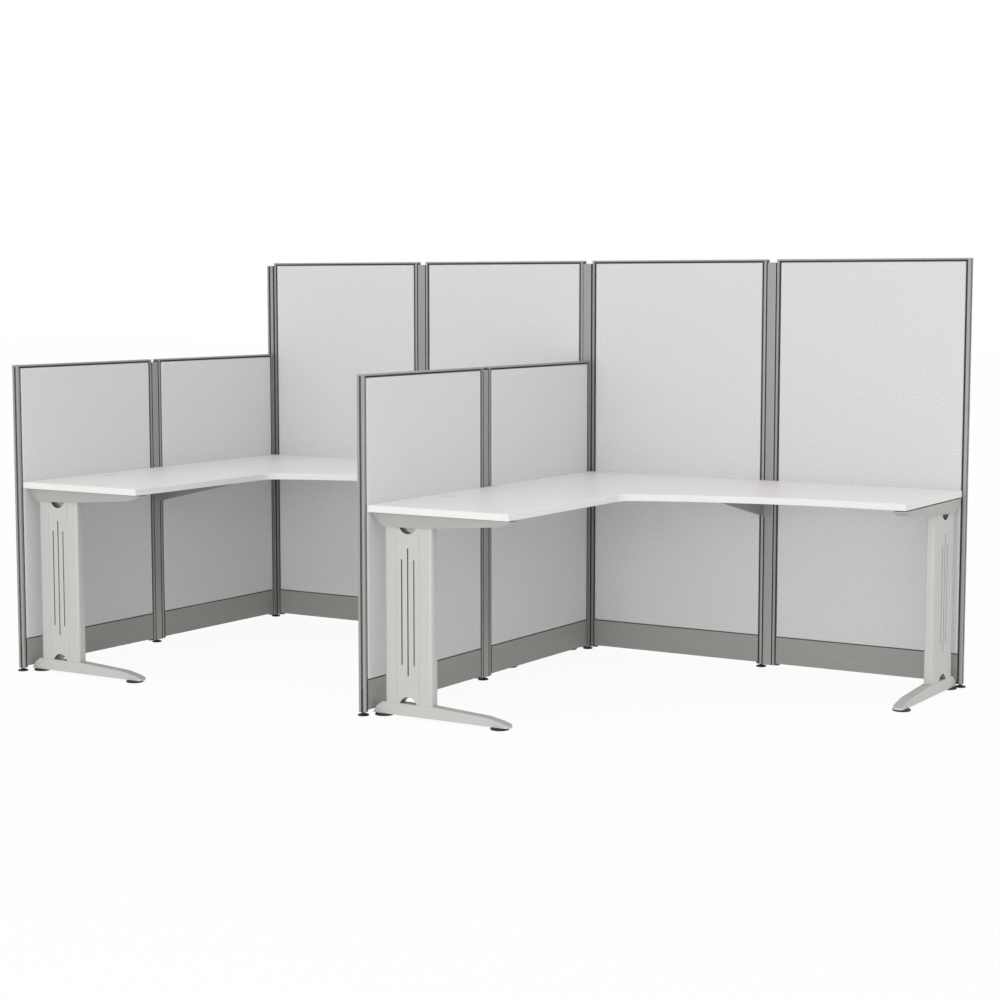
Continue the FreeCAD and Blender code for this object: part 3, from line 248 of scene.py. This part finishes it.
def crepe_cloth(tree, place, tone):
    """Woven polyester crepe: matt and soft, with the short irregular shadows of twisted yarn."""
    axes = node(tree, 'ShaderNodeSeparateXYZ', {'Vector': place})
    along = node(tree, 'ShaderNodeMath', {0: axes.outputs['X'], 1: axes.outputs['Y']}, operation='ADD')
    cloth = node(tree, 'ShaderNodeCombineXYZ', {'X': along.outputs[0], 'Y': axes.outputs['Z']}).outputs['Vector']
    # A wave texture's bands repeat every 0.314 of its scaled units, and the threads lie 1.2 mm apart
    threads = [node(tree, 'ShaderNodeTexWave', {'Vector': cloth, 'Scale': 0.314 / (1.2 * MM), 'Distortion': 1.5,
                                                'Detail': 1.0, 'Detail Scale': 2.0}, bands_direction=axis)
               for axis in 'XY']
    weave = node(tree, 'ShaderNodeMath', {0: threads[0].outputs['Fac'], 1: threads[1].outputs['Fac']},
                 operation='MAXIMUM')
    # The crepe's grain is about 2 mm; it is drawn at 5 mm as well, so that it shows from across a room
    fine = node(tree, 'ShaderNodeTexNoise', {'Vector': cloth, 'Scale': 1 / (2 * MM), 'Detail': 3.0})
    coarse = node(tree, 'ShaderNodeTexNoise', {'Vector': cloth, 'Scale': 1 / (5 * MM), 'Detail': 2.0,
                                               'Roughness': 0.7})
    grain = node(tree, 'ShaderNodeMath', {0: fine.outputs['Fac'], 1: coarse.outputs['Fac']}, operation='ADD')
    height = node(tree, 'ShaderNodeMath', {0: weave.outputs[0], 1: 0.25, 2: grain.outputs[0]},
                  operation='MULTIPLY_ADD')
    speck = node(tree, 'ShaderNodeMapRange', {'Value': grain.outputs[0], 'From Min': 0.75, 'From Max': 1.25})
    mix = node(tree, 'ShaderNodeMix', {0: speck.outputs['Result'], 6: scaled(tone, 0.8), 7: scaled(tone, 1.13)},
               data_type='RGBA')
    relief = node(tree, 'ShaderNodeBump', {'Strength': 0.5, 'Distance': 0.5 * MM, 'Height': height.outputs[0]})
    return {'Base Color': mix.outputs[2], 'Roughness': 0.95, 'Specular IOR Level': 0.2, 'Sheen Weight': 0.15,
            'Sheen Roughness': 0.6, 'Normal': relief.outputs['Normal']}


def satin_anodising(tree, place, tone):
    """Etched and anodised extrusion: a soft, even metal sheen without lines of its own."""
    return grained(tree, place, tone, 0.03, 60 * MM, 0.8 * MM, 0.02 * MM, (0.42, 0.5), Metallic=0.4)


def painted_slot_shade(tree, place, tone):
    """Painted shade inside an extrusion's slots and grooves: a dark, dull colour without the sheen of the
    outside.
    """
    return grained(tree, place, tone, 0.08, 20 * MM, 1.5 * MM, 0.05 * MM, (0.8, 0.9))


def kick_coat(tree, place, tone):
    """Powder-coated sheet near the floor: matt orange peel, with faint level scuffs from shoes and cleaning."""
    inputs = grained(tree, place, tone, 0.03, 40 * MM, 1.6 * MM, 0.05 * MM, (0.5, 0.6))
    level = node(tree, 'ShaderNodeMapping', {'Vector': place, 'Scale': (1.0, 1.0, 9.0)})
    marks = node(tree, 'ShaderNodeTexNoise', {'Vector': level.outputs['Vector'], 'Scale': 1 / (90 * MM),
                                              'Detail': 5.0, 'Roughness': 0.65})
    worn = node(tree, 'ShaderNodeMapRange', {'Value': marks.outputs['Fac'], 'From Min': 0.56, 'From Max': 0.72,
                                             'To Max': 0.35})
    mix = node(tree, 'ShaderNodeMix', {0: worn.outputs['Result'], 6: inputs['Base Color'],
                                       7: scaled(tone, 1.3)}, data_type='RGBA')
    inputs['Base Color'] = mix.outputs[2]
    return inputs


def matt_laminate(tree, place, tone):
    """High-pressure laminate: an even off-white with a fine pearl relief that softens reflections."""
    return grained(tree, place, tone, 0.012, 120 * MM, 0.9 * MM, 0.015 * MM, (0.38, 0.46))


def fine_powder_coat(tree, place, tone):
    """Fine silver powder coat on pressed steel: tiny orange peel with a little metal flake."""
    return grained(tree, place, tone, 0.02, 30 * MM, 1.2 * MM, 0.04 * MM, (0.42, 0.5), Metallic=0.25)


def plated_zinc(tree, place, tone):
    """Bright zinc plating: bluish metal, a little cloudy."""
    return grained(tree, place, tone, 0.06, 8 * MM, 0.6 * MM, 0.01 * MM, (0.28, 0.4), Metallic=1.0)


def moulded_plastic(tree, place, tone):
    """Moulded plastic from a spark-eroded mould: matt, with a fine even grain drawn at 1 mm so that it shows."""
    return grained(tree, place, tone, 0.04, 15 * MM, 1.0 * MM, 0.05 * MM, (0.45, 0.58))


def chipboard(tree, place, tone):
    """Raw chipboard: pressed flakes of a few millimetres in several browns."""
    flakes = node(tree, 'ShaderNodeTexVoronoi', {'Vector': place, 'Scale': 1 / (5 * MM)})
    axes = node(tree, 'ShaderNodeSeparateColor', {'Color': flakes.outputs['Color']})
    mix = node(tree, 'ShaderNodeMix', {0: axes.outputs[0], 6: scaled(tone, 0.6), 7: tone}, data_type='RGBA')
    relief = node(tree, 'ShaderNodeBump', {'Strength': 0.5, 'Distance': 0.2 * MM,
                                           'Height': flakes.outputs['Distance']})
    return {'Base Color': mix.outputs[2], 'Roughness': 0.85, 'Normal': relief.outputs['Normal']}


FINISHES = {
    "tile_fabric": ("crepe_cloth", crepe_cloth, "cloth"),
    "frame_aluminium": ("anodised_aluminium", satin_anodising, "aluminium"),
    "kick_steel": ("powder_coated_kick_steel", kick_coat, "kick_coat"),
    "desktop_laminate": ("pressure_laminate", matt_laminate, "laminate"),
    "leg_steel": ("silver_powder_coat", fine_powder_coat, "leg_coat"),
    "bracket_steel": ("painted_shade_grey_coat", fine_powder_coat, "painted_bracket_shade"),
    "zinc_steel": ("zinc_plated_steel", plated_zinc, "zinc"),
    "black_plastic": ("black_moulded_nylon", moulded_plastic, "black"),
    "cap_plastic": ("grey_moulded_abs", moulded_plastic, "cap"),
    "grommet_plastic": ("off_white_moulded_abs", moulded_plastic, "grommet"),
    "pad_rubber": ("black_rubber", moulded_plastic, "black"),
    "core_board": ("raw_chipboard", chipboard, "board"),
}


def finish_of(slot):
    """Material for one of the record's slots."""
    return finish(*FINISHES[slot])


# Editing helpers

def deselect():
    """Leave nothing selected."""
    bpy.ops.object.select_all(action='DESELECT')


def choose(piece):
    """Make one object the only selected one, and active."""
    deselect()
    piece.select_set(True)
    bpy.context.view_layer.objects.active = piece


def edit(piece, mode):
    """Open one object for editing with nothing selected."""
    choose(piece)
    bpy.ops.object.mode_set(mode='EDIT')
    bpy.ops.mesh.select_mode(type=mode)
    bpy.ops.mesh.select_all(action='DESELECT')


def close():
    """Leave edit mode."""
    bpy.ops.object.mode_set(mode='OBJECT')


def pick(kind, test):
    """Select the faces, edges or vertices of the edited mesh that pass a test."""
    mesh = bmesh.from_edit_mesh(bpy.context.object.data)
    for part in getattr(mesh, kind):
        part.select_set(test(part))
    mesh.select_flush_mode()
    bmesh.update_edit_mesh(bpy.context.object.data)


def settle(piece):
    """Put an object's place, turn and scale into its mesh."""
    choose(piece)
    bpy.ops.object.transform_apply(location=True, rotation=True, scale=True)


def modify(piece, kind, **settings):
    """Add a modifier with its settings, and apply it."""
    choose(piece)
    bpy.ops.object.modifier_add(type=kind)
    added = piece.modifiers[-1]
    for key, value in settings.items():
        setattr(added, key, value)
    bpy.ops.object.modifier_apply(modifier=added.name)


def smooth(piece, degrees):
    """Smooth shading up to an angle, with flat faces kept flat beside their rounded edges."""
    choose(piece)
    bpy.ops.object.shade_smooth_by_angle(angle=math.radians(degrees))
    modify(piece, 'WEIGHTED_NORMAL', keep_sharp=True)


def coat(piece, slot, second, test):
    """Give a piece the finish of its slot, and a second material on the faces that pass a test."""
    piece.data.materials.append(finish_of(slot))
    piece.data.materials.append(second)
    edit(piece, 'FACE')
    pick("faces", test)
    piece.active_material_index = 1
    bpy.ops.object.material_slot_assign()
    close()


def declare(piece, slot, body, *nodes):
    """Give a finished piece the material of its slot if it has none, put it on its body, and hide the CAD nodes
    it stands for.
    """
    if not piece.data.materials:
        piece.data.materials.append(finish_of(slot))
    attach(piece, body)
    if nodes:
        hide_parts(*nodes)


def dress(slot, *names):
    """Give CAD nodes that stay as they are the finish of their slot."""
    for name in names:
        materials = frame["nodes"][name].data.materials
        materials.clear()
        materials.append(finish_of(slot))


def own_copy(piece, name):
    """Copy of an object with a mesh of its own."""
    choose(piece)
    bpy.ops.object.duplicate()
    made = bpy.context.object
    made.name = made.data.name = name
    return made


def finished_copy(source, name, width, segments):
    """Copy of a CAD node with its facets joined, its sharp edges rounded and its curves smooth."""
    made = own_copy(frame["nodes"][source], name)
    del made["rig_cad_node"]
    made.parent = None
    made.data.materials.clear()
    edit(made, 'VERT')
    bpy.ops.mesh.select_all(action='SELECT')
    bpy.ops.mesh.remove_doubles(threshold=0.01 * MM)
    bpy.ops.mesh.dissolve_limited(angle_limit=math.radians(MERGE_ANGLE))
    close()
    modify(made, 'BEVEL', width=width, segments=segments, limit_method='ANGLE',
           angle_limit=math.radians(ROUND_ANGLE))
    smooth(made, SMOOTH_ANGLE)
    return made


def in_metres(rings, radius=0.0, height=0.0):
    """Rings given in mm from a radius and a height."""
    return [(wide * MM + radius, high * MM + height) for wide, high in rings]


def turned(name, rings, sides, solid=True):
    """Round piece through rings given as radius and height; a hollow one ends on its first ring."""
    deselect()
    radius, height = rings[0]
    bpy.ops.mesh.primitive_circle_add(vertices=sides, radius=radius, location=(0, 0, height),
                                      fill_type='NGON' if solid else 'NOTHING')
    made = bpy.context.object
    made.name = made.data.name = name
    settle(made)
    edit(made, 'FACE' if solid else 'EDGE')
    bpy.ops.mesh.select_all(action='SELECT')
    for wide, high in rings[1:]:
        bpy.ops.mesh.extrude_region_move(TRANSFORM_OT_translate={"value": (0, 0, high - height)})
        bpy.ops.transform.resize(value=(wide / radius, wide / radius, 1), center_override=(0, 0, high))
        radius, height = wide, high
    bpy.ops.mesh.select_all(action='SELECT')
    bpy.ops.mesh.remove_doubles(threshold=0.001 * MM)
    bpy.ops.mesh.normals_make_consistent(inside=False)
    close()
    return made


def joined(name, *parts):
    """One object out of several."""
    deselect()
    for part in parts:
        part.select_set(True)
    bpy.context.view_layer.objects.active = parts[0]
    bpy.ops.object.join()
    parts[0].name = parts[0].data.name = name
    return parts[0]


def threaded(low, high, pitch):
    """Rings of a threaded stretch of stem, from low to high."""
    return [(THREAD_CREST - cut * pitch, low + turn * pitch + along * pitch)
            for turn in range(int((high - low) / pitch)) for along, cut in THREAD_FORM]


def copies_at_nodes(master, names, slot):
    """Set a copy of a piece modelled on the zero point under each node's place, riding on the node's own body."""
    for name in names:
        low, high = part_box(name)
        made = own_copy(master, name + "_piece")
        made.location = ((low.x + high.x) / 2, (low.y + high.y) / 2, low.z)
        settle(made)
        declare(made, slot, name + "_body", name)
    bpy.data.objects.remove(master)


# Operators, one for each piece or group of like pieces

class WORKSTATION_OT_tiles(bpy.types.Operator):
    """Model the fabric tiles on both faces of every screen"""
    bl_idname = "workstation.tiles"
    bl_label = "Fabric tiles"

    def tile(self, sizes, wide, high):
        """Tile about the zero point, its cloth towards -Y: a thin board, its rolled edge and a slight crown."""
        deselect()
        bpy.ops.mesh.primitive_cube_add(size=1, location=(0, 0, 0), scale=(wide, sizes.tile_depth, high))
        made = bpy.context.object
        settle(made)
        edit(made, 'FACE')
        pick("faces", lambda face: face.normal.y < -0.9)
        for step in range(ROLL_STEPS):
            start, end = (math.pi / 2 * (step + more) / ROLL_STEPS for more in (0, 1))
            bpy.ops.mesh.inset(thickness=sizes.tile_roll * (math.cos(start) - math.cos(end)),
                               depth=sizes.tile_roll * (math.sin(end) - math.sin(start)))
        # The crown: the stretched cloth rises a little over wide rings
        for across, share in CROWN_RINGS:
            bpy.ops.mesh.inset(thickness=across, depth=share * sizes.tile_crown)
        close()
        # The foot of the roll is coloured dark as painted shade of the groove it sits in, except over the kick
        # plate
        coat(made, "tile_fabric", finish("painted_shade_tile_foot", moulded_plastic, "edging"),
             lambda face: abs(face.normal.y) < FOOT_SHADE_SLOPE and face.normal.z > -FOOT_SHADE_SLOPE)
        smooth(made, TILE_SMOOTH_ANGLE)
        return made

    def execute(self, context):
        sizes = context.scene.workstation_sizes
        masters = {}
        for screen in SCREENS:
            source = screen + "_tiles"
            low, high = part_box(source)
            across_x = high.x - low.x > high.y - low.y
            wide = max(high.x - low.x, high.y - low.y)
            tall = high.z - low.z
            key = round(tall, 3)
            if key not in masters:
                masters[key] = self.tile(sizes, wide, tall)
            thickness = min(high.x - low.x, high.y - low.y)
            offset = thickness / 2 + sizes.tile_proud - sizes.tile_roll - sizes.tile_depth / 2
            for side, turn in (("front", 0.0), ("rear", math.pi)):
                made = own_copy(masters[key], screen + "_" + side + "_tile")
                made.rotation_euler.z = turn if across_x else turn + math.pi / 2
                outward = Vector((0, -offset, 0))
                outward.rotate(made.rotation_euler)
                made.location = (low + high) / 2 + outward
                settle(made)
                declare(made, "tile_fabric", ROOT, source)
        for master in masters.values():
            bpy.data.objects.remove(master)
        return {'FINISHED'}


class WORKSTATION_OT_extrusions(bpy.types.Operator):
    """Finish the screen frames, the posts and their caps"""
    bl_idname = "workstation.extrusions"
    bl_label = "Frames, posts and caps"

    def paint_slot_shade(self, made, name):
        """Give painted shade, a dark dull colour, to slots, grooves and the faces that meet another extrusion
        across a seam.
        """
        low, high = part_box(name)
        thin = 0 if high.x - low.x < high.y - low.y else 1
        mid_plane = (low[thin] + high[thin]) / 2
        bright_half = 0 if name in POSTS else END_SLOT_HALF
        others = [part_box(other) for other in self.names() if other != name]

        def in_slot(face):
            """Whether a face lies inside the node's box, and not in the slot of a frame's end."""
            middle = face.calc_center_bounds()
            return (all(low[axis] + SKIN < middle[axis] < high[axis] - SKIN for axis in range(3))
                    and abs(middle[thin] - mid_plane) > bright_half)

        def at_seam(face, axis):
            """Whether a face looks along an axis at another extrusion that is about as tall."""
            probe = face.calc_center_bounds()
            probe[axis] += math.copysign(SEAM_REACH, face.normal[axis])
            top = max(corner.co.z for corner in face.verts)
            side = 1 - axis
            return abs(face.normal[axis]) > SIDE_SLOPE and any(
                start[axis] < probe[axis] < end[axis] and start.z < probe.z < end.z
                and start[side] - SEAM_SPREAD < probe[side] < end[side] + SEAM_SPREAD
                and top < end.z + SEAM_STEP for start, end in others)

        # Painted shade: faces in slots, grooves and seams take a dark dull colour for the shade that falls there
        coat(made, "frame_aluminium", finish("painted_slot_shade", painted_slot_shade, "channel"),
             lambda face: in_slot(face) or at_seam(face, 0) or at_seam(face, 1))

    def names(self):
        """Nodes of the extruded frames and posts."""
        return [screen + "_frame" for screen in SCREENS] + list(POSTS)

    def execute(self, context):
        width = context.scene.workstation_sizes.extrusion_edge
        for name in self.names():
            made = finished_copy(name, name + "_extrusion", width, 2)
            self.paint_slot_shade(made, name)
            declare(made, "frame_aluminium", ROOT, name)
        declare(finished_copy("post_caps", "moulded_post_caps", width, 2), "cap_plastic", ROOT, "post_caps")
        return {'FINISHED'}


class WORKSTATION_OT_hidden_parts(bpy.types.Operator):
    """Give the link strips, cores, inserts and pads their finishes"""
    bl_idname = "workstation.hidden_parts"
    bl_label = "Links, cores, inserts and pads"

    def execute(self, context):
        dress("zinc_steel", "link_strips")
        dress("core_board", "screen_cores")
        dress("black_plastic", "foot_inserts")
        dress("pad_rubber", "desk_pads")
        return {'FINISHED'}


class WORKSTATION_OT_kick_plates(bpy.types.Operator):
    """Finish the kick plates under the tiles"""
    bl_idname = "workstation.kick_plates"
    bl_label = "Kick plates"

    def execute(self, context):
        width = context.scene.workstation_sizes.sheet_edge
        for name in ("back_kick_plates", "side_kick_plates"):
            declare(finished_copy(name, "pressed_" + name, width, 2), "kick_steel", ROOT, name)
        return {'FINISHED'}


class WORKSTATION_OT_feet(bpy.types.Operator):
    """Turn the levelling feet of the walls"""
    bl_idname = "workstation.feet"
    bl_label = "Levelling feet"

    def execute(self, context):
        pitch = context.scene.workstation_sizes.thread_pitch
        stem = (in_metres([(3.4, 6.5), (3.4, 12)]) + threaded(12 * MM, 40 * MM, pitch)
                + in_metres([(3.9, 41), (3.9, 75)]))
        foot = joined("foot", turned("disc", in_metres(FOOT_DISC), 48), turned("nut", in_metres(FOOT_NUT), 6),
                      turned("stem", stem, 24))
        smooth(foot, TURNED_SMOOTH_ANGLE)
        copies_at_nodes(foot, FEET, "black_plastic")
        return {'FINISHED'}


class WORKSTATION_OT_glides(bpy.types.Operator):
    """Turn the glides under the C-legs"""
    bl_idname = "workstation.glides"
    bl_label = "Leg glides"

    def execute(self, context):
        pitch = context.scene.workstation_sizes.thread_pitch
        stem = in_metres([(3.4, 8)]) + threaded(9 * MM, 24 * MM, pitch) + in_metres([(3.2, 25)])
        glide = joined("glide", turned("disc", in_metres(GLIDE_DISC), 56), turned("stem", stem, 24))
        smooth(glide, TURNED_SMOOTH_ANGLE)
        copies_at_nodes(glide, GLIDES, "black_plastic")
        return {'FINISHED'}


class WORKSTATION_OT_desktops(bpy.types.Operator):
    """Finish the desktops with their edge bands and grommets"""
    bl_idname = "workstation.desktops"
    bl_label = "Desktops and grommets"

    def grommets(self):
        """Collars with a soft rim and dished lids, at the places of the CAD grommets."""
        low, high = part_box("cable_grommets")
        top = high.z
        depth = high.z - low.z
        rim = (high.y - low.y) / 2
        foot = [(rim + COLLAR[-1][0] * MM, top - depth), (rim + COLLAR[0][0] * MM, top - depth)]
        collar = in_metres(COLLAR, rim, top) + foot + in_metres(COLLAR[:1], rim, top)
        master = joined("grommet", turned("collar", collar, 64, solid=False),
                        turned("lid", in_metres(LID, rim, top), 64))
        smooth(master, TURNED_SMOOTH_ANGLE)
        y = (low.y + high.y) / 2
        for side, x in (("left", low.x + rim), ("right", high.x - rim)):
            made = own_copy(master, side + "_cable_grommet")
            made.location = (x, y, 0)
            settle(made)
            declare(made, "grommet_plastic", ROOT, "cable_grommets")
        bpy.data.objects.remove(master)

    def execute(self, context):
        width = context.scene.workstation_sizes.desk_edge
        for name in ("left_desktop", "right_desktop"):
            made = finished_copy(name, name + "_board", width, 3)
            coat(made, "desktop_laminate", finish("abs_edge_band", moulded_plastic, "edge_band"),
                 lambda face: abs(face.normal.z) < SIDE_SLOPE)
            declare(made, "desktop_laminate", ROOT, name)
        self.grommets()
        return {'FINISHED'}


class WORKSTATION_OT_legs(bpy.types.Operator):
    """Finish the C-legs: feet, uprights, beams and covers"""
    bl_idname = "workstation.legs"
    bl_label = "C-legs and covers"

    def outlet_cutter(self, radius):
        """Rounds across both covers of every leg, at the foot and the head, where the outlets are."""
        rounds = []
        for leg in LEGS:
            low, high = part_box(leg + "_front_cover")
            across_x = high.x - low.x > high.y - low.y
            for height in (low.z - LOWER_OUTLET_DROP, high.z - UPPER_OUTLET_DROP):
                deselect()
                bpy.ops.mesh.primitive_cylinder_add(
                    vertices=OUTLET_SIDES, radius=radius, depth=OUTLET_DEPTH,
                    location=((low.x + high.x) / 2, (low.y + high.y) / 2, height),
                    rotation=(math.pi / 2, 0, 0) if across_x else (0, math.pi / 2, 0))
                rounds.append(bpy.context.object)
        return joined("outlet_cutter", *rounds)

    def declare_cut(self, cover, cutter, source):
        modify(cover, 'BOOLEAN', operation='DIFFERENCE', object=cutter)
        smooth(cover, SMOOTH_ANGLE)
        declare(cover, "leg_steel", ROOT, source)

    def rear_covers(self, edge):
        """Plain rear covers, made as tall as the slotted ones."""
        low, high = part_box("leg_rear_covers")
        foot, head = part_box(LEGS[0] + "_front_cover")
        middle = (low.z + high.z) / 2
        made = finished_copy("leg_rear_covers", "plain_leg_rear_covers", edge, 2)
        edit(made, 'VERT')
        pick("verts", lambda corner: corner.co.z > middle)
        bpy.ops.transform.translate(value=(0, 0, head.z - high.z))
        pick("verts", lambda corner: corner.co.z < middle)
        bpy.ops.transform.translate(value=(0, 0, foot.z - low.z))
        close()
        return made

    def execute(self, context):
        sizes = context.scene.workstation_sizes
        cutter = self.outlet_cutter(sizes.outlet_radius)
        for leg in LEGS:
            made = finished_copy(leg + "_frame", leg + "_pressed_frame", sizes.leg_edge, 3)
            # The beam takes a darker copy of the silver coat, as painted shade under the desktop
            coat(made, "leg_steel", finish("painted_shade_silver_coat", fine_powder_coat, "painted_beam_shade"),
                 lambda face: face.calc_center_bounds().z > BEAM_LEVEL)
            declare(made, "leg_steel", ROOT, leg + "_frame")
            source = leg + "_front_cover"
            self.declare_cut(finished_copy(source, leg + "_slotted_cover", sizes.sheet_edge, 2), cutter, source)
        self.declare_cut(self.rear_covers(sizes.sheet_edge), cutter, "leg_rear_covers")
        bpy.data.objects.remove(cutter)
        return {'FINISHED'}


class WORKSTATION_OT_brackets(bpy.types.Operator):
    """Finish the cantilever brackets and the desk screws"""
    bl_idname = "workstation.brackets"
    bl_label = "Brackets and screws"

    def execute(self, context):
        width = context.scene.workstation_sizes.sheet_edge
        # The brackets' coat is darker than the legs' as painted shade under the desktops
        declare(finished_copy("desk_brackets", "pressed_desk_brackets", width, 2), "bracket_steel", ROOT,
                "desk_brackets")
        declare(finished_copy("desk_screws", "hexagon_desk_screws", width, 2), "zinc_steel", ROOT, "desk_screws")
        return {'FINISHED'}


class WORKSTATION_OT_studio(bpy.types.Operator):
    """Set up the floor, the backdrop, the soft lights and the camera"""
    bl_idname = "workstation.studio"
    bl_label = "Studio"

    def seen(self, tree):
        """Share that is 1 for rays that look at the backdrop straight, in a reflection or through glass."""
        path = node(tree, 'ShaderNodeLightPath', {})
        share = path.outputs['Is Camera Ray']
        for ray in ('Is Glossy Ray', 'Is Transmission Ray'):
            share = node(tree, 'ShaderNodeMath', {0: share, 1: path.outputs[ray]}, operation='MAXIMUM').outputs[0]
        return share

    def backdrop(self, scene):
        """World that lights evenly and looks white."""
        world = scene.world or bpy.data.worlds.new("studio")
        scene.world = world
        world.use_nodes = True
        tree = world.node_tree
        tree.nodes.clear()
        sky = node(tree, 'ShaderNodeBackground', {'Color': (1.0, 1.0, 1.0, 1.0), 'Strength': SKY})
        white = node(tree, 'ShaderNodeBackground', {'Color': (1.0, 1.0, 1.0, 1.0), 'Strength': 1.0})
        mix = node(tree, 'ShaderNodeMixShader', {0: self.seen(tree), 1: sky.outputs[0], 2: white.outputs[0]})
        node(tree, 'ShaderNodeOutputWorld', {'Surface': mix.outputs[0]})

    def floor(self):
        """Plain pale floor that keeps the object's shadow, and glows faintly like a lit table."""
        deselect()
        bpy.ops.mesh.primitive_plane_add(size=FLOOR_SIZE, location=(0, 0, 0))
        plane = bpy.context.object
        plane.name = "studio_floor"
        settle(plane)
        paint = bpy.data.materials.new("plain_floor")
        paint.use_nodes = True
        tree = paint.node_tree
        tree.nodes.clear()
        matt = node(tree, 'ShaderNodeBsdfDiffuse', {'Color': (0.96, 0.96, 0.96, 1.0)})
        white = node(tree, 'ShaderNodeEmission', {'Color': (1.0, 1.0, 1.0, 1.0), 'Strength': 1.0})
        share = node(tree, 'ShaderNodeMapRange', {'Value': self.seen(tree), 'To Min': GLOW, 'To Max': SEEN_GLOW})
        mix = node(tree, 'ShaderNodeMixShader', {0: share.outputs[0], 1: matt.outputs[0], 2: white.outputs[0]})
        node(tree, 'ShaderNodeOutputMaterial', {'Surface': mix.outputs[0]})
        plane.data.materials.append(paint)

    def softbox(self):
        """Wide square lamp in front of the object, a little to the right."""
        deselect()
        bpy.ops.object.light_add(type='AREA', location=SOFTBOX_PLACE)
        made = bpy.context.object
        made.name = "softbox"
        made.data.shape = 'SQUARE'
        made.data.size = SOFTBOX_SIZE
        made.data.energy = SOFTBOX_POWER
        made.rotation_euler = (Vector(SOFTBOX_AIM) - Vector(SOFTBOX_PLACE)).to_track_quat('-Z', 'Y').to_euler()

    def execute(self, context):
        scene = context.scene
        scene.view_settings.view_transform = 'Standard'
        self.backdrop(scene)
        self.floor()
        self.softbox()
        deselect()
        bpy.ops.object.camera_add(location=CAMERA_PLACE)
        camera = context.object
        camera.name = "photo_camera"
        camera.rotation_euler = (math.radians(CAMERA_TILT), 0, math.radians(CAMERA_TURN))
        camera.data.lens = CAMERA_LENS
        camera.data.sensor_width = CAMERA_SENSOR
        scene.camera = camera
        return {'FINISHED'}


OPERATORS = (
    WORKSTATION_OT_tiles,
    WORKSTATION_OT_extrusions,
    WORKSTATION_OT_hidden_parts,
    WORKSTATION_OT_kick_plates,
    WORKSTATION_OT_feet,
    WORKSTATION_OT_glides,
    WORKSTATION_OT_desktops,
    WORKSTATION_OT_legs,
    WORKSTATION_OT_brackets,
    WORKSTATION_OT_studio,
)


class WORKSTATION_PT_sidebar(bpy.types.Panel):
    """Sizes, colours and pieces of the workstation"""
    bl_idname = "WORKSTATION_PT_sidebar"
    bl_label = "Cubicle workstation"
    bl_space_type = 'VIEW_3D'
    bl_region_type = 'UI'
    bl_category = "Workstation"

    def draw(self, context):
        for group in (context.scene.workstation_sizes, context.scene.workstation_colours):
            for key in group.__annotations__:
                self.layout.prop(group, key)
        for operator in OPERATORS:
            self.layout.operator(operator.bl_idname)


CLASSES = (WorkstationSizes, WorkstationColours) + OPERATORS + (WORKSTATION_PT_sidebar,)


def register():
    for made in CLASSES:
        bpy.utils.register_class(made)
    bpy.types.Scene.workstation_sizes = PointerProperty(type=WorkstationSizes)
    bpy.types.Scene.workstation_colours = PointerProperty(type=WorkstationColours)


def unregister():
    del bpy.types.Scene.workstation_colours
    del bpy.types.Scene.workstation_sizes
    for made in reversed(CLASSES):
        bpy.utils.unregister_class(made)


def main():
    register()
    for operator in OPERATORS:
        group, name = operator.bl_idname.split(".")
        getattr(getattr(bpy.ops, group), name)()


if __name__ == "__main__":
    main()
